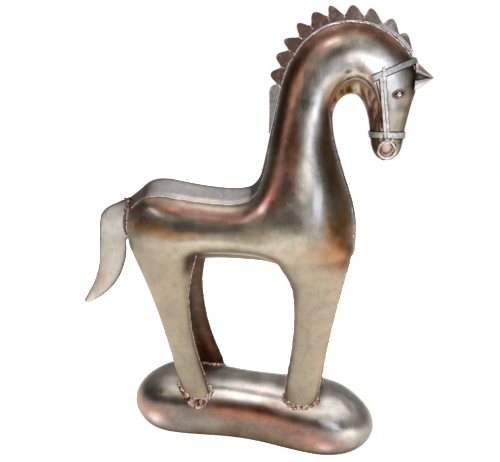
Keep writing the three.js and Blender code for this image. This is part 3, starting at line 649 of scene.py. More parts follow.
# Heat tints on the side sheet mixed with painted light, in the order they are laid. The bright, silver and
# rose spots are painted highlights. Many of the umber, moss and darkest brown patches are painted shade where
# the sheet's reflections fall dim, as on the crest, along the legs' edges and in the corner of belly and hind
# leg. Each gives colour, station, share, and how far it reaches along the stations and along the rib, then
# how strongly it covers.
SIDE_TINTS_AND_PAINTED_LIGHT = [
    ("moss", 6.5, 0.46, 5.8, 0.11, 0.80),
    ("moss", 6.6, 0.60, 4.0, 0.07, 0.80),
    ("umber", 6.4, 0.50, 3.8, 0.07, 0.35),
    ("plum", 6.4, 0.17, 4.8, 0.13, 0.92),
    ("umber", 6.0, 0.15, 3.4, 0.08, 0.35),
    ("rose", 6.9, 0.23, 1.6, 0.04, 0.55),
    ("rose", 3.9, 0.13, 0.8, 0.04, 0.55),
    ("copper", 0.8, 0.16, 1.3, 0.13, 0.85),
    ("umber", 2.8, 0.05, 2.0, 0.09, 0.80),
    ("slate", 2.4, 0.24, 0.9, 0.09, 0.55),
    ("umber", 8.0, 0.02, 3.0, 0.04, 0.60),
    ("umber", 1.0, 0.26, 0.8, 0.05, 0.50),
    ("amber", 0.9, 0.31, 0.8, 0.06, 0.85),
    ("rose", 0.4, 0.13, 0.5, 0.10, 0.90),
    ("bright", 0.25, 0.10, 0.25, 0.05, 0.70),
    ("umber", 1.3, 0.86, 0.14, 0.10, 0.55),
    ("amber", 1.7, 0.40, 0.9, 0.08, 0.65),
    ("amber", 2.4, 0.42, 1.4, 0.09, 0.80),
    ("amber", 3.2, 0.54, 1.3, 0.08, 0.75),
    ("amber", 4.9, 0.56, 1.2, 0.05, 0.50),
    ("umber", 17.5, 0.10, 7.5, 0.13, 0.80),
    ("umber", 13.5, 0.12, 2.6, 0.10, 0.50),
    ("umber", 17.0, 0.20, 5.6, 0.14, 0.80),
    ("copper", 16.0, 0.30, 4.4, 0.07, 0.65),
    ("copper", 20.4, 0.31, 1.4, 0.05, 0.35),
    ("copper", 11.0, 0.20, 1.6, 0.14, 0.80),
    ("rose", 9.7, 0.21, 1.1, 0.11, 0.80),
    ("bright", 9.9, 0.24, 0.55, 0.05, 0.85),
    ("plum", 13.0, 0.20, 2.4, 0.10, 0.60),

    ("umber", 24.5, 0.10, 2.6, 0.16, 0.90),
    ("soot_and_shade", 24.2, 0.08, 2.0, 0.12, 0.72),
    ("umber", 21.8, 0.16, 0.9, 0.07, 0.60),
    ("umber", 12.2, 0.16, 1.0, 0.08, 0.45),
    ("umber", 20.0, 0.13, 1.8, 0.10, 0.92),
    ("umber", 25.8, 0.22, 0.9, 0.12, 0.70),
    ("rose", 22.4, 0.28, 0.8, 0.07, 0.92),
    ("bright", 22.6, 0.28, 0.5, 0.04, 0.65),
    ("slate", 17.5, 0.43, 6.5, 0.07, 0.75),
    ("slate", 17.0, 0.56, 5.0, 0.09, 0.90),
    ("silver", 22.5, 0.62, 2.4, 0.12, 0.90),
    ("silver", 26.0, 0.50, 1.8, 0.18, 0.80),
    ("bright", 25.0, 0.66, 1.1, 0.14, 0.95),
    ("moss", 23.5, 0.46, 1.2, 0.09, 0.70),
    ("bright", 28.6, 0.50, 2.4, 0.20, 0.60),
    ("amber", 29.2, 0.80, 0.8, 0.12, 0.30),
    ("champagne", 31.5, 0.45, 1.6, 0.30, 0.60),
    ("peat", 17.3, 0.84, 4.6, 0.18, 0.80),
    ("amber", 16.2, 0.88, 3.2, 0.06, 0.40),
    ("umber", 20.9, 0.95, 2.0, 0.11, 0.85),
    ("amber", 21.6, 0.93, 0.9, 0.05, 0.40),
    ("bright", 23.9, 0.77, 1.8, 0.12, 0.85),
    ("bright", 22.0, 0.72, 1.2, 0.06, 0.90),
    ("bright", 20.3, 0.70, 1.4, 0.08, 0.70),
    ("moss", 13.5, 0.52, 1.2, 0.09, 0.95),
    ("moss", 11.8, 0.57, 1.1, 0.08, 0.60),
    ("moss", 13.2, 0.44, 1.6, 0.10, 0.60),
    ("amber", 13.3, 0.84, 1.0, 0.14, 0.85),
    ("amber", 14.4, 0.92, 0.8, 0.08, 0.60),
    ("amber", 12.4, 0.92, 0.9, 0.14, 0.60),
    ("umber", 13.7, 0.90, 0.9, 0.12, 0.45),
    ("umber", 13.6, 1.00, 2.0, 0.05, 0.80),
    ("bright", 14.3, 0.62, 1.1, 0.05, 0.80),
    ("amber", 24.8, 0.86, 1.0, 0.08, 0.35),
    ("umber", 28.2, 0.05, 2.2, 0.12, 0.60),
    ("amber", 29.5, 0.14, 3.0, 0.12, 0.25),
    ("umber", 31.5, 0.02, 2.5, 0.10, 0.35),
    ("rose", 30.6, 0.94, 3.0, 0.13, 0.60),
    ("rose", 33.4, 0.92, 1.5, 0.26, 0.92),
    ("umber", 27.0, 0.97, 1.8, 0.10, 0.60),
    ("umber", 5.0, 1.03, 0.55, 0.09, 0.85),
    ("umber", 9.0, 1.10, 0.7, 0.22, 0.60),
    ("umber", 8.95, 1.60, 0.35, 0.55, 0.75),
    ("umber", 9.6, 1.95, 1.6, 0.14, 0.45),
    ("umber", 4.98, 1.84, 0.30, 0.18, 0.60),
    ("umber", 4.9, 1.80, 0.6, 0.25, 0.35),
    ("umber", 2.6, 1.93, 1.6, 0.10, 0.35),
    ("soot_and_shade", 5.05, 1.02, 0.60, 0.09, 0.85),
]


# The metal before any heat tint: two colours, the share of the second, and what scales red, green, blue. The
# legs' inner faces and the underside are laid dark, partly as heat tint and partly as painted shade. The
# back's slopes are scaled dark, partly as painted shade.
GROUNDS_AND_PAINTED_SHADE = {
    "side": ("champagne", "champagne", 0, (1, 1, 1)),
    "legs": ("champagne", "moss", 0.33, (0.97, 0.92, 0.87)),
    "inner": ("umber", "soot_and_shade", 0.3, (1, 1, 1)),
    "roof": ("slate", "slate", 0, (0.4224, 0.44, 0.4708)),
    "under": ("umber", "champagne", 0.3, (1, 1, 1)),
    "base": ("slate", "champagne", 0.4, (0.68, 0.68, 0.68)),
    "tail": ("silver", "champagne", 0.5, (1, 1, 1)),
    "ears": ("silver", "umber", 0.2, (1, 1, 1)),
    "collars": ("rose", "slate", 0.4, (1, 1, 1)),
}


# A part's ground colour. For the legs' inner faces, the underside and the back's slopes it carries painted
# shade.
def bare(name):
    first, second, share, scale = GROUNDS_AND_PAINTED_SHADE[name]
    return mix(tone(first), tone(second), share) * scale


def zoned(place, zones, colours, uneven, steepness):
    """The colours covered zone by zone by soft ellipses of heat tint. Each zone has a colour, a centre,
    as many reaches and a strength; uneven shifts the outlines, and steepness sharpens them."""
    colours = np.broadcast_to(colours, (len(place), 3))
    for name, *numbers, strength in zones:
        centre, reach = np.reshape(numbers, (2, -1))
        away = (place - centre) / reach + uneven
        cover = strength * np.exp(-(away ** 2).sum(-1) ** steepness)
        colours = mix(colours, tone(name), cover[:, None])
    return colours


def tinted(place, points, zones, colours):
    """The colours of a grid of the sheet whose zones are given by station and share."""
    uneven = 0.22 * wobbles(points.reshape(-1, 3), 70, (41, 42))
    return zoned(place.reshape(-1, 2), zones, colours, uneven, 1.5)


def seam_paths():
    """The seams of the near half, by name."""
    g = grids()
    per = BODY["per_station"]
    side, legs = g["side"], g["legs"]
    return {
        "back": side[1 * per:13 * per + 1, 0], "crest": side[13 * per:28 * per, 0],
        "nose": side[28 * per:, 0], "belly": side[5 * per:9 * per + 1, -1],
        "chest": side[13 * per:21 * per, -1], "jaw": side[21 * per:, -1],
        "rump": side[0:per + 1, -1],
        **{f"{name}_{edge}": rows[:, column] for name, rows in legs.items()
           for edge, column in (("rear", 0), ("front", -1))},
    }


def on_near_side(points):
    return upright(points[:, [0, 2]], -np.abs(points[:, 1]))


def seam_distance(points):
    """How far each point is from the nearest seam, as far as that matters."""
    seams = np.concatenate([evenly(path, 5) for path in seam_paths().values()])
    near = on_near_side(points.reshape(-1, 3))
    away = np.full(len(near), NO_SEAM)
    for some in np.array_split(seams, 12):
        gap = near[:, None] - some[None]
        away = np.minimum(away, np.sqrt((gap ** 2).sum(-1)).min(1))
    return away


def surface_distance(drawing, stations):
    """The body's distance from the middle plane at each (x, z), from the nearest points of its side."""
    g = grids()
    inside = (g["station"] >= stations[0]) & (g["station"] <= stations[1])
    near = np.concatenate([g["side"][inside].reshape(-1, 3), g["upper"][inside].reshape(-1, 3)])
    gap = ((drawing.reshape(-1, 1, 2) - near[None, :, [0, 2]]) ** 2).sum(-1)
    four = np.argpartition(gap, 4, axis=1)[:, :4]
    weight = 1 / (np.take_along_axis(gap, four, axis=1) + 0.3)
    out = (-near[four, 1] * weight).sum(1) / weight.sum(1)
    return out.reshape(drawing.shape[:-1])


# ---------------------------------------------------------------- materials
def node(tree, kind, links=None, **settings):
    """Adds a node with its settings, and sets or links its inputs by name or number."""
    made = tree.nodes.new(kind)
    for key, value in settings.items():
        setattr(made, key, value)
    for key, value in (links or {}).items():
        socket = made.inputs[key]
        if isinstance(value, bpy.types.NodeSocket):
            tree.links.new(value, socket)
        elif isinstance(value, (tuple, list, np.ndarray)) and socket.type == "RGBA":
            socket.default_value = (*value[:3], 1.0)
        else:
            socket.default_value = value
    return made


def ramp(tree, factor, low, high, start=0.0, end=1.0):
    """A factor stretched so that low gives start and high gives end."""
    return node(tree, "ShaderNodeMapRange", {
        "Value": factor, "From Min": low, "From Max": high, "To Min": start, "To Max": end}).outputs[0]


def blend(tree, factor, first, second, kind="MIX"):
    inputs = {place: value if isinstance(value, bpy.types.NodeSocket) else (*value[:3], 1.0)
              for place, value in ((6, first), (7, second))}
    return node(tree, "ShaderNodeMix", {0: factor, **inputs}, data_type="RGBA", blend_type=kind).outputs[2]


def times(tree, *factors, operation="MULTIPLY"):
    total = factors[0]
    for factor in factors[1:]:
        total = node(tree, "ShaderNodeMath", {0: total, 1: factor}, operation=operation).outputs[0]
    return total


def per_mm(size):
    """The scale of a pattern on object coordinates in metres whose features are about size millimetres."""
    return 1 / (size * MM)


def swing(tree, pattern, low, high):
    """A factor from low to high over the span that a noise usually takes."""
    return ramp(tree, pattern, 0.3, 0.7, low, high)


def covered(tree, metal, *layers):
    """The metal's colour under layers of (factor, colour)."""
    for factor, shade in layers:
        metal = blend(tree, factor, metal, tone(shade) if isinstance(shade, str) else shade)
    return metal


def noise(tree, vector, size, detail=3.0, roughness=0.5):
    return node(tree, "ShaderNodeTexNoise", {
        "Vector": vector, "Scale": per_mm(size), "Detail": detail, "Roughness": roughness}).outputs[0]


def drawn_out(tree, vector, scale, turn=0):
    """Coordinates turned about Y and scaled, so that a noise on them is drawn out into lines."""
    return node(tree, "ShaderNodeMapping", {
        "Vector": vector, "Rotation": (0.0, math.radians(turn), 0.0), "Scale": scale}).outputs[0]


def layer(tree, name, output="Fac"):
    return node(tree, "ShaderNodeAttribute", attribute_name=name).outputs[output]


def object_place(tree):
    return node(tree, "ShaderNodeTexCoord").outputs["Object"]


def new_material(name):
    material = bpy.data.materials.new(name)
    material.use_nodes = True
    tree = material.node_tree
    tree.nodes.clear()
    return material, tree


def finish_material(tree, colour_out, roughness, height, bump_mm):
    """Metal of that colour and roughness, with the height as a bump so many millimetres deep."""
    bump = node(tree, "ShaderNodeBump", {"Height": height, "Distance": bump_mm * MM, "Strength": 0.6})
    shader = node(tree, "ShaderNodeBsdfPrincipled", {
        "Base Color": colour_out, "Roughness": roughness, "Metallic": 1.0, "Normal": bump.outputs[0]})
    node(tree, "ShaderNodeOutputMaterial", {"Surface": shader.outputs[0]})


def brushed_sheet(name, rough, speckle, lay=(1.0, 1.0, 0.16)):
    """Mild steel sheet, beaten, welded and then brushed with an abrasive wheel. The eye sees a satin
    metal whose colour drifts between champagne, copper and grey with the heat tint, brush lines and a
    few bright scratches, dark specks where scale was left, and soot beside the seams. The lay is how
    the lines are drawn out: small along the direction of brushing."""
    material, tree = new_material(name)
    place = object_place(tree)
    lines = noise(tree, drawn_out(tree, place, lay), 2.4, 5.0, 0.75)
    cloud = noise(tree, place, 48, 4.0, 0.6)
    patch = noise(tree, place, 15, 5.0, 0.7)
    grit = noise(tree, place, 2.2, 3.0, 0.6)

    # A scratch is where a slow noise, drawn out aslant, passes through its middle value.
    slow = noise(tree, drawn_out(tree, place, (1.0, 1.0, 0.12), 38), 9, 1.0, 0.5)
    off = times(tree, slow, 0.5, operation="SUBTRACT")
    off = node(tree, "ShaderNodeMath", {0: off}, operation="ABSOLUTE").outputs[0]
    scratch = times(tree, ramp(tree, off, 0.0, 0.005, 1.0, 0.0), ramp(tree, patch, 0.52, 0.66))

    shade = times(tree, swing(tree, cloud, 0.78, 1.16), swing(tree, lines, 0.86, 1.12),
                  swing(tree, patch, 0.82, 1.14))
    grey = node(tree, "ShaderNodeCombineColor", {0: shade, 1: shade, 2: shade}).outputs[0]
    # Darkening near the seams: at the welds it is the metal's own, and on the base it is partly painted shade
    # along its foot.
    seam_grime_and_foot_shade = times(tree, ramp(tree, layer(tree, "seam"), 0.4, 5.0, 0.85, 0.0),
                  ramp(tree, patch, 0.35, 0.65, 0.35, 1.0))
    metal = covered(
        tree, blend(tree, 1.0, layer(tree, "tint", "Color"), grey, "MULTIPLY"),
        (ramp(tree, patch, 0.52, 0.74, 0.0, 0.30), "copper"), (times(tree, scratch, 0.3), "silver"),
        (seam_grime_and_foot_shade, "soot_and_shade"), (times(tree, ramp(tree, grit, 0.64, 0.74), speckle), "soot_and_shade"))
    roughness = times(tree, swing(tree, cloud, rough - 0.05, rough + 0.05), swing(tree, lines, 0.80, 1.2),
                      ramp(tree, layer(tree, "satin"), 0.0, 1.0, 1.0, 1.5))
    height = times(tree, times(tree, lines, 0.8), patch, times(tree, grit, 0.3), operation="ADD")
    finish_material(tree, metal, roughness, height, 0.2)
    return material


def weld_metal(name):
    """Weld beads left as laid and lightly brushed. The eye sees small bright lumps that fall off to
    copper and soot between the ripples."""
    material, tree = new_material(name)
    place = object_place(tree)
    patch = noise(tree, place, 5, 4.0, 0.6)
    grit = noise(tree, place, 1.6, 3.0, 0.6)
    metal = covered(tree, layer(tree, "tint", "Color"), (ramp(tree, patch, 0.45, 0.62), "copper"),
                    (ramp(tree, grit, 0.56, 0.7, 0.0, 0.8), "soot_and_shade"))
    finish_material(tree, metal, swing(tree, grit, 0.22, 0.42), grit, 0.35)
    return material


def strip_metal(name, ground, rough, edge, edge_cover, speck, fade=0.0, beaten=0.12):
    """Cut strip, plate and wire of the same metal, brushed on its faces. The eye sees a satin face, a
    darker or brighter rim where it was cut and handled, and small pits. Towards the head, fade turns
    the face grey and the rim sooty, as on the mane's worn teeth; beaten is how deep the blows go."""
    material, tree = new_material(name)
    place = object_place(tree)
    patch = noise(tree, place, 12, 5.0, 0.65)
    grit = noise(tree, place, 2.0, 3.0, 0.6)
    lines = noise(tree, drawn_out(tree, place, (1.0, 1.0, 0.15)), 1.5)
    across = node(tree, "ShaderNodeSeparateXYZ", {0: place}).outputs["X"]
    worn = ramp(tree, across, 0.13, 0.245, 0.0, fade)
    metal = covered(
        tree, blend(tree, worn, tone(ground), tone("slate")),
        (ramp(tree, patch, 0.40, 0.7, 0.0, 0.55), "umber"),
        (ramp(tree, patch, 0.46, 0.28, 0.0, 0.45), "bright"),
        (ramp(tree, grit, 0.6, 0.72, 0.0, speck), "soot_and_shade"),
        (ramp(tree, layer(tree, "rim"), 0.3, 1.0, 0.0, edge_cover),
         blend(tree, worn, tone(edge), tone("soot_and_shade"))))
    roughness = times(tree, swing(tree, patch, rough, rough + 0.1), swing(tree, lines, 0.92, 1.08))
    height = times(tree, times(tree, patch, 3.0), grit, operation="ADD")
    finish_material(tree, metal, roughness, height, beaten)
    return material


MATERIALS = {}


def material(kind):
    makers = {
        "body": lambda: brushed_sheet("brushed_steel_sheet", 0.33, 0.05),
        "base": lambda: brushed_sheet("brushed_base_sheet", 0.34, 0.45, (1.0, 0.16, 0.6)),
        "tail": lambda: brushed_sheet("brushed_tail_sheet", 0.44, 0.6),
        "mane": lambda: strip_metal("heat_tinted_plate", "mane", 0.38, "silver", 0.7, 0.7, 0.8, 0.35),
        "tongue": lambda: strip_metal("brushed_plate", "silver", 0.38, "soot_and_shade", 0.5, 0.3),
        # The straps' dark rims are partly painted shade along the gap beside them.
        "strap": lambda: strip_metal("brushed_strip", "silver", 0.44, "soot_and_shade", 0.8, 0.6),
        # A dark sheet that is painted shadow under the straps and ring, in the jaw crease and in the eyes'
        # hollows.
        "painted_shadow": lambda: strip_metal("painted_shadow_sheet", "soot_and_shade", 0.5, "soot_and_shade", 0.9, 0.8),
        "cheek": lambda: strip_metal("bright_brushed_strip", "bright", 0.5, "soot_and_shade", 0.6, 0.3),
        "fitting": lambda: strip_metal("polished_wire", "bright", 0.26, "silver", 0.1, 0.25),
        "lid": lambda: strip_metal("dark_brushed_wire", "mane", 0.34, "soot_and_shade", 0.2, 0.6),
        "weld": lambda: weld_metal("weld_bead"),
    }
    if kind not in MATERIALS:
        MATERIALS[kind] = makers[kind]()
    return MATERIALS[kind]


# ---------------------------------------------------------------- pieces
# Below this height the wheel didn't reach and the sheet is left duller; it turns so over SATIN_FADE. There
# the side sheet's colour also turns to the legs' darker ground, darker towards the bottom.
SATIN_BELOW = 455
SATIN_FADE = 90


def satin(grid):
    """How dull the sheet is left at each point, 0 to 1."""
    return ease(np.clip((SATIN_BELOW - grid[..., 2]) / SATIN_FADE, 0, 1))


def make_body():
    g = grids()
    skin = Skin(**SHEET_LAYERS, satin=0.0)

    def both(grid, colours, turned=False):
        values = {"tint": colours, "seam": seam_distance(grid), "satin": satin(grid)}
        skin.patch(grid, turned, **values)
        skin.patch(mirrored(grid), not turned, **values)

    # Towards the bottom the side sheet takes the legs' darker, greener colour.
    sides = mix(bare("side"), bare("legs"), satin(g["side"]).reshape(-1, 1))
    both(g["side"], tinted(g["side_place"], g["side"], SIDE_TINTS_AND_PAINTED_LIGHT, sides))
    for name in LEGS:
        outer, inner, place = (g[part][name].transpose(1, 0, 2) for part in ("legs", "inner", "leg_places"))
        both(outer, tinted(place, outer, SIDE_TINTS_AND_PAINTED_LIGHT, bare("legs")))
        both(inner, tinted(place, inner, INNER_TINTS, bare("inner")), True)
        both(np.stack([outer[:, -1], inner[:, -1]], axis=1), tone("champagne"))
    share = np.linspace(0, 1, g["upper"].shape[1])[None]
    place = np.stack(np.broadcast_arrays(g["station"][:, None], share), -1)
    both(g["upper"], tinted(place, g["upper"], ROOF_TINTS_AND_PAINTED_LIGHT, bare("roof")))
    both(g["lower"], tinted(place[:, ::-1], g["lower"], BELLY_TINTS, bare("under")))
    end = np.concatenate([g["upper"][-1], g["side"][-1][1:], g["lower"][-1][1:]])
    skin.patch(np.stack([mirrored(end), end], axis=0), tint=tone("champagne"), seam=10.0)
    skin.piece("horse_body", material("body"), ["body"], "body_sheet", sharp=38)


# Heat tints on the legs' inner faces, the slopes of the back and the underside. On the back, the silver along
# the seam is a painted highlight and the umber over the neck is partly painted shade. On the last two the
# share runs from the ridge, 0, to the seam, 1.
INNER_TINTS = [
    ("moss", 3.0, 1.3, 3.0, 0.30, 0.45),
    ("copper", 3.2, 1.72, 2.6, 0.16, 0.15),
    ("champagne", 11.0, 1.5, 3.0, 0.6, 0.45),
]
ROOF_TINTS_AND_PAINTED_LIGHT = [
    ("umber", 20, 0.5, 7.0, 0.8, 0.6),
    ("copper", 1.1, 0.5, 1.0, 0.8, 0.45),
    ("silver", 7, 1.0, 6.0, 0.14, 0.7),
]
BELLY_TINTS = [
    ("amber", 22.2, 0.6, 0.5, 0.6, 0.7),
    ("copper", 24.5, 0.35, 1.2, 0.3, 0.6),
    ("moss", 25.5, 0.6, 3.0, 0.5, 0.45),
    ("peat", 22.8, 0.6, 1.2, 0.6, 0.8),
    ("umber", 24.2, 0.95, 1.8, 0.16, 0.85),
    ("peat", 25.3, 0.70, 0.35, 0.3, 0.7),
    ("umber", 26.4, 0.85, 0.30, 0.4, 0.6),
    ("champagne", 24.6, 0.4, 0.8, 0.35, 0.75),
    ("rose", 28.0, 0.5, 2.2, 0.6, 0.45),
]


def base_height(x, y):
    """The base's top at (x, y) between its lobes' centres: a superellipse across it."""
    along = np.clip(np.abs(x) / BASE["lobe_x"], 0, 1)
    reach = mix(BASE["waist_width"], BASE["lobe_width"], ease(along))
    full = BASE["fullness"][0]
    up = np.clip(1 - (np.abs(y) / reach) ** full, 0, 1) ** (1 / full)
    z = mix(BASE["widest"], BASE["height"], up)
    return z * (1 - BASE["fall"] * x / BASE["height"])


def base_grid():
    """Spokes round the two-lobed pillow: each a superellipse from the top to the widest level, then a
    straight tuck to the ground."""
    fan, side = BASE["fan_steps"], BASE["side_steps"]
    centre, reach, direction, endness = [], [], [], []
    for end in (1, -1):
        angle = np.pi * (np.arange(fan) / fan - 0.5)
        stretch = BASE["end_reach"] / BASE["lobe_width"]
        centre.append(np.full(fan, end * BASE["lobe_x"]))
        reach.append(np.full(fan, BASE["lobe_width"]))
        direction.append(np.stack([end * stretch * np.cos(angle), end * np.sin(angle)], axis=-1))
        endness.append(np.cos(angle))
        along = 1 - 2 * np.arange(side) / side
        centre.append(end * along * BASE["lobe_x"])
        reach.append(mix(BASE["waist_width"], BASE["lobe_width"], ease(np.abs(along))))
        direction.append(np.tile([0.0, end], (side, 1)))
        endness.append(np.zeros(side))
    centre, reach, endness = (np.concatenate(part)[:, None] for part in (centre, reach, endness))
    direction = np.concatenate(direction)
    full = mix(BASE["fullness"][0], BASE["fullness"][1], endness)
    tuck = mix(BASE["tuck"][0], BASE["tuck"][1], endness)
    angle = np.pi / 2 * (1 - np.linspace(0, 1, BASE["rise"] + 1))[None]
    distance = reach * np.cos(angle).clip(0) ** (2 / full)
    z = mix(BASE["widest"], BASE["height"], np.sin(angle).clip(0) ** (2 / full))
    down = np.linspace(0, 1, 9)[None, 1:]
    distance = np.concatenate([distance, reach - tuck * down ** 2], axis=1)
    z = np.concatenate([z, np.broadcast_to(BASE["widest"] * (1 - down), (len(z), down.shape[1]))], axis=1)
    x = centre + direction[:, :1] * distance
    grid = np.stack([x, direction[:, 1:] * distance, z - BASE["fall"] * x * z / BASE["height"]], axis=-1)
    return np.concatenate([grid, grid[:1]])


# Heat tints on the base mixed with painted light. The silver and bright zones on the top and lobes, with the
# rose spots beside them, are painted highlights. The peat and umber at the foot are painted shade near the
# floor. Each gives colour, x, y, z, reach in x, y and z, strength. The far side mirrors the near.
BASE_TINTS_AND_PAINTED_LIGHT = [
    ("slate", 0, 10, 106, 260, 40, 14, 0.70),
    ("moss", 0, 25, 104, 260, 34, 16, 0.45),
    ("silver", 25, -46, 96, 130, 24, 14, 0.95),
    ("silver", 215, -30, 86, 60, 44, 26, 0.80),
    ("silver", 190, -60, 64, 60, 26, 20, 0.55),
    ("umber", -60, -78, 60, 110, 30, 20, 0.50),
    ("copper", 5, -74, 66, 70, 24, 16, 0.95),
    ("umber", 20, -78, 74, 60, 20, 8, 0.50),
    ("copper", 90, -84, 56, 50, 24, 20, 0.65),
    ("peat", 20, -72, 34, 60, 24, 18, 0.45),
    ("plum", 120, -86, 46, 60, 24, 26, 0.75),
    ("umber", -225, -60, 70, 70, 60, 30, 0.45),
    ("rose", -195, -80, 38, 44, 40, 18, 0.80),
    ("bright", -186, -83, 30, 20, 30, 13, 0.80),
    ("bright", 222, -64, 56, 26, 30, 22, 0.70),
    ("bright", 40, -40, 97, 100, 30, 13, 0.90),
    ("rose", 165, -90, 28, 50, 30, 16, 0.80),
    ("bright", 172, -85, 22, 14, 24, 9, 0.55),
    ("peat", 30, -70, 6, 150, 30, 22, 0.75),
    ("umber", 0, 0, 0, 400, 200, 9, 0.60),
]


def make_base():
    grid = base_grid()
    flat = grid.reshape(-1, 3)
    uneven = 0.2 * wobbles(flat, 60, (51, 52, 53))
    colours = zoned(on_near_side(flat), BASE_TINTS_AND_PAINTED_LIGHT, bare("base"), uneven, 1.3)
    lift = within(grid[..., 2], 0, BASE["height"] + 4, 20, 14)
    depth = 1.2 * sizes().dents / MM * lift * np.abs(wobble(grid, 55, 8))
    grid = grid - unit(grid * [0.2, 1, 0.7]) * depth[..., None]
    grid[-1] = grid[0]
    skin = Skin(**SHEET_LAYERS)
    # Here the seam layer is the height above the floor, so the darkening by the seams falls along the base's
    # foot, partly as painted shade near the floor. The bottom plate below is laid umber and fully darkened,
    # as painted shade under the base.
    skin.patch(grid, tint=colours, seam=np.clip(grid[..., 2] + 1, 0, NO_SEAM))
    under = np.stack([grid[:, -1], np.zeros_like(grid[:, -1])], axis=1)
    skin.patch(under, tint=tone("umber"), seam=0.0)
    skin.piece("base_pillow", material("base"), ["base"], "base_sheet", sharp=40)


TAIL_TINTS = [
    # colour, x, z, reach in x and z, strength
    ("umber", -268, 0, 16, math.inf, 0.25),
    ("amber", -345, 300, 26, 40, 0.3),
]


def make_tail():
    rows = through(TAIL["rows"], np.linspace(0, len(TAIL["rows"]) - 1, 90))
    share = np.linspace(0, 1, 15)[None]
    half = mix(TAIL["edge"], TAIL["middle"], np.sin(np.pi * share)) / 2
    x, z = (mix(rows[:, n, None], rows[:, n + 2, None], share) for n in (0, 1))
    out = np.stack(np.broadcast_arrays(x, half, z), axis=-1)
    ring = np.concatenate([out, mirrored(out)[:, ::-1], out[:, :1]], axis=1)
    ring[..., 1] += TAIL["bend"] * wobble(ring * [1, 0, 1], 70, 61)
    flat = ring.reshape(-1, 3)
    inset = np.minimum(share, 1 - share) + 0 * x
    inset = np.concatenate([inset, inset[:, ::-1], inset[:, :1]], axis=1).ravel()
    # Above this height the tail is painted towards bright metal, as painted light on its upper part.
    upper = 0.95 * ease(np.clip((flat[:, 2:] - TAIL["painted_light_above"]) / 50, 0, 1))
    colours = zoned(flat[:, [0, 2]], TAIL_TINTS, mix(bare("tail"), tone("bright"), upper), 0, 1)
    colours = mix(colours, tone("soot_and_shade"), 0.75 * (inset < 0.02)[:, None])
    seam = np.minimum(0.9 + 30 * inset, np.abs(flat[:, 0] - TAIL["root_x"]) + 2)
    skin = Skin(**SHEET_LAYERS)
    skin.patch(ring, tint=colours, seam=seam)
    for row, turned in ((ring[0], False), (ring[-1], True)):
        fan = np.stack([np.broadcast_to(row[:-1].mean(0), row.shape), row])
        skin.patch(fan, turned, tint=tone("champagne"), seam=20.0)
    skin.piece("tail_blade", material("tail"), ["tail"], "tail_sheet", sharp=45)


def crest_line(stations, count, out=0.8):
    """Points just outside the upper ridge between two stations."""
    station = np.linspace(*stations, count)
    ridge = through(STATIONS, station)[:, :2]
    run = unit(np.gradient(ridge, axis=0))
    return ridge + out * np.stack([-run[:, 1], run[:, 0]], axis=-1)


def tooth_outline(before, tip, after):
    """From notch to notch over the tip on a parabola, with points at even steps."""
    before, tip, after = (np.array(p, float) for p in (before, tip, after))
    rise, fall = (mix(tip, end, MANE["tip_round"]) for end in (before, after))
    curve = parabola(rise, 2 * tip - (rise + fall) / 2, fall, 25)
    outline = evenly(np.vstack([before, curve, after]), 0.5)
    return picked(outline, 0, len(outline) - 1, MANE["columns"])


# How far each tooth's tip leans from the middle plane, from the withers to the poll.
TOOTH_LEAN = [0.8, -0.6, 0.5, -0.9, 0.7, -0.4, 0.8, -1.2, 2.6, -2.4]


def make_mane():
    half = sizes().plate / MM / 2
    skin, strip = Skin(rim=0.0), Skin(rim=0.0)
    crest = crest_line(MANE["stations"], 600)
    notches = np.array(MANE["notches"], float)
    below = crest[[nearest(crest, notch) for notch in notches]]
    notches = notches + MANE["notch_lift"] * unit(notches - below)
    feet = [nearest(crest, notch) for notch in notches]
    feet[0], feet[-1] = 0, len(crest) - 1
    up = np.linspace(0, 1, 16)[:, None]
    along = np.linspace(0, 1, MANE["columns"])
    for n, (tip, lean) in enumerate(zip(MANE["tips"], TOOTH_LEAN)):
        low = picked(crest, feet[n], feet[n + 1], MANE["columns"])
        grid = mix(low, tooth_outline(notches[n], tip, notches[n + 1]), up[..., None])
        inwards = MANE["gap"] * (1 - 2 * along) ** 15 * np.clip(up * 3 - 0.4, 0, 1)
        grid = grid + inwards[..., None] * unit(low[-1] - low[0])
        cup = MANE["cup"] * (-1) ** n * np.sin(np.pi * along) * up
        thick_sheet(skin, upright(grid, lean * up ** 1.6 + cup)[:, ::-1], half)
    skin.piece("mane_teeth", material("mane"), ["mane_crest"], "mane_sheet", sharp=50)
    inner, outer = (crest_line(MANE["strip"], 60, out) for out in (0.6, 5.2))
    grid = mix(outer[None], inner[None], np.linspace(0, 1, 6)[:, None, None])
    thick_sheet(strip, upright(grid, MANE["strip_y"]), MANE["strip_half"])
    strip.piece("mane_under_strip", material("tongue"), (), "mane_sheet", sharp=50)


def make_tongue():
    neck = crest_line(TONGUE["stations"], 61)
    curve = parabola(*(np.array(p, float) for p in (TONGUE["rear"][-1], TONGUE["corner"], TONGUE["end"])), 12)
    rear = evenly(np.vstack([neck[0], TONGUE["rear"], curve[1:], neck[-1]]), 0.5)
    rear = picked(rear, 0, len(rear) - 1, len(neck))
    grid = mix(neck, rear, np.linspace(0, 1, 10)[:, None, None])
    skin = Skin(rim=0.0)
    thick_sheet(skin, upright(grid, 0.5 * wobble(upright(grid, 0), 50, 71)), sizes().plate / MM / 2)
    skin.piece("mane_tongue_plate", material("tongue"), ["mane_tongue"], "mane_sheet", sharp=50)


def strap_line(spec):
    """A strap's line in (x, z): where it starts, the way it runs, and the way across it."""
    start = np.array(spec["from"], float)
    run = unit(np.array(spec["to"], float) - start)
    return start, run, np.array([-run[1], run[0]])


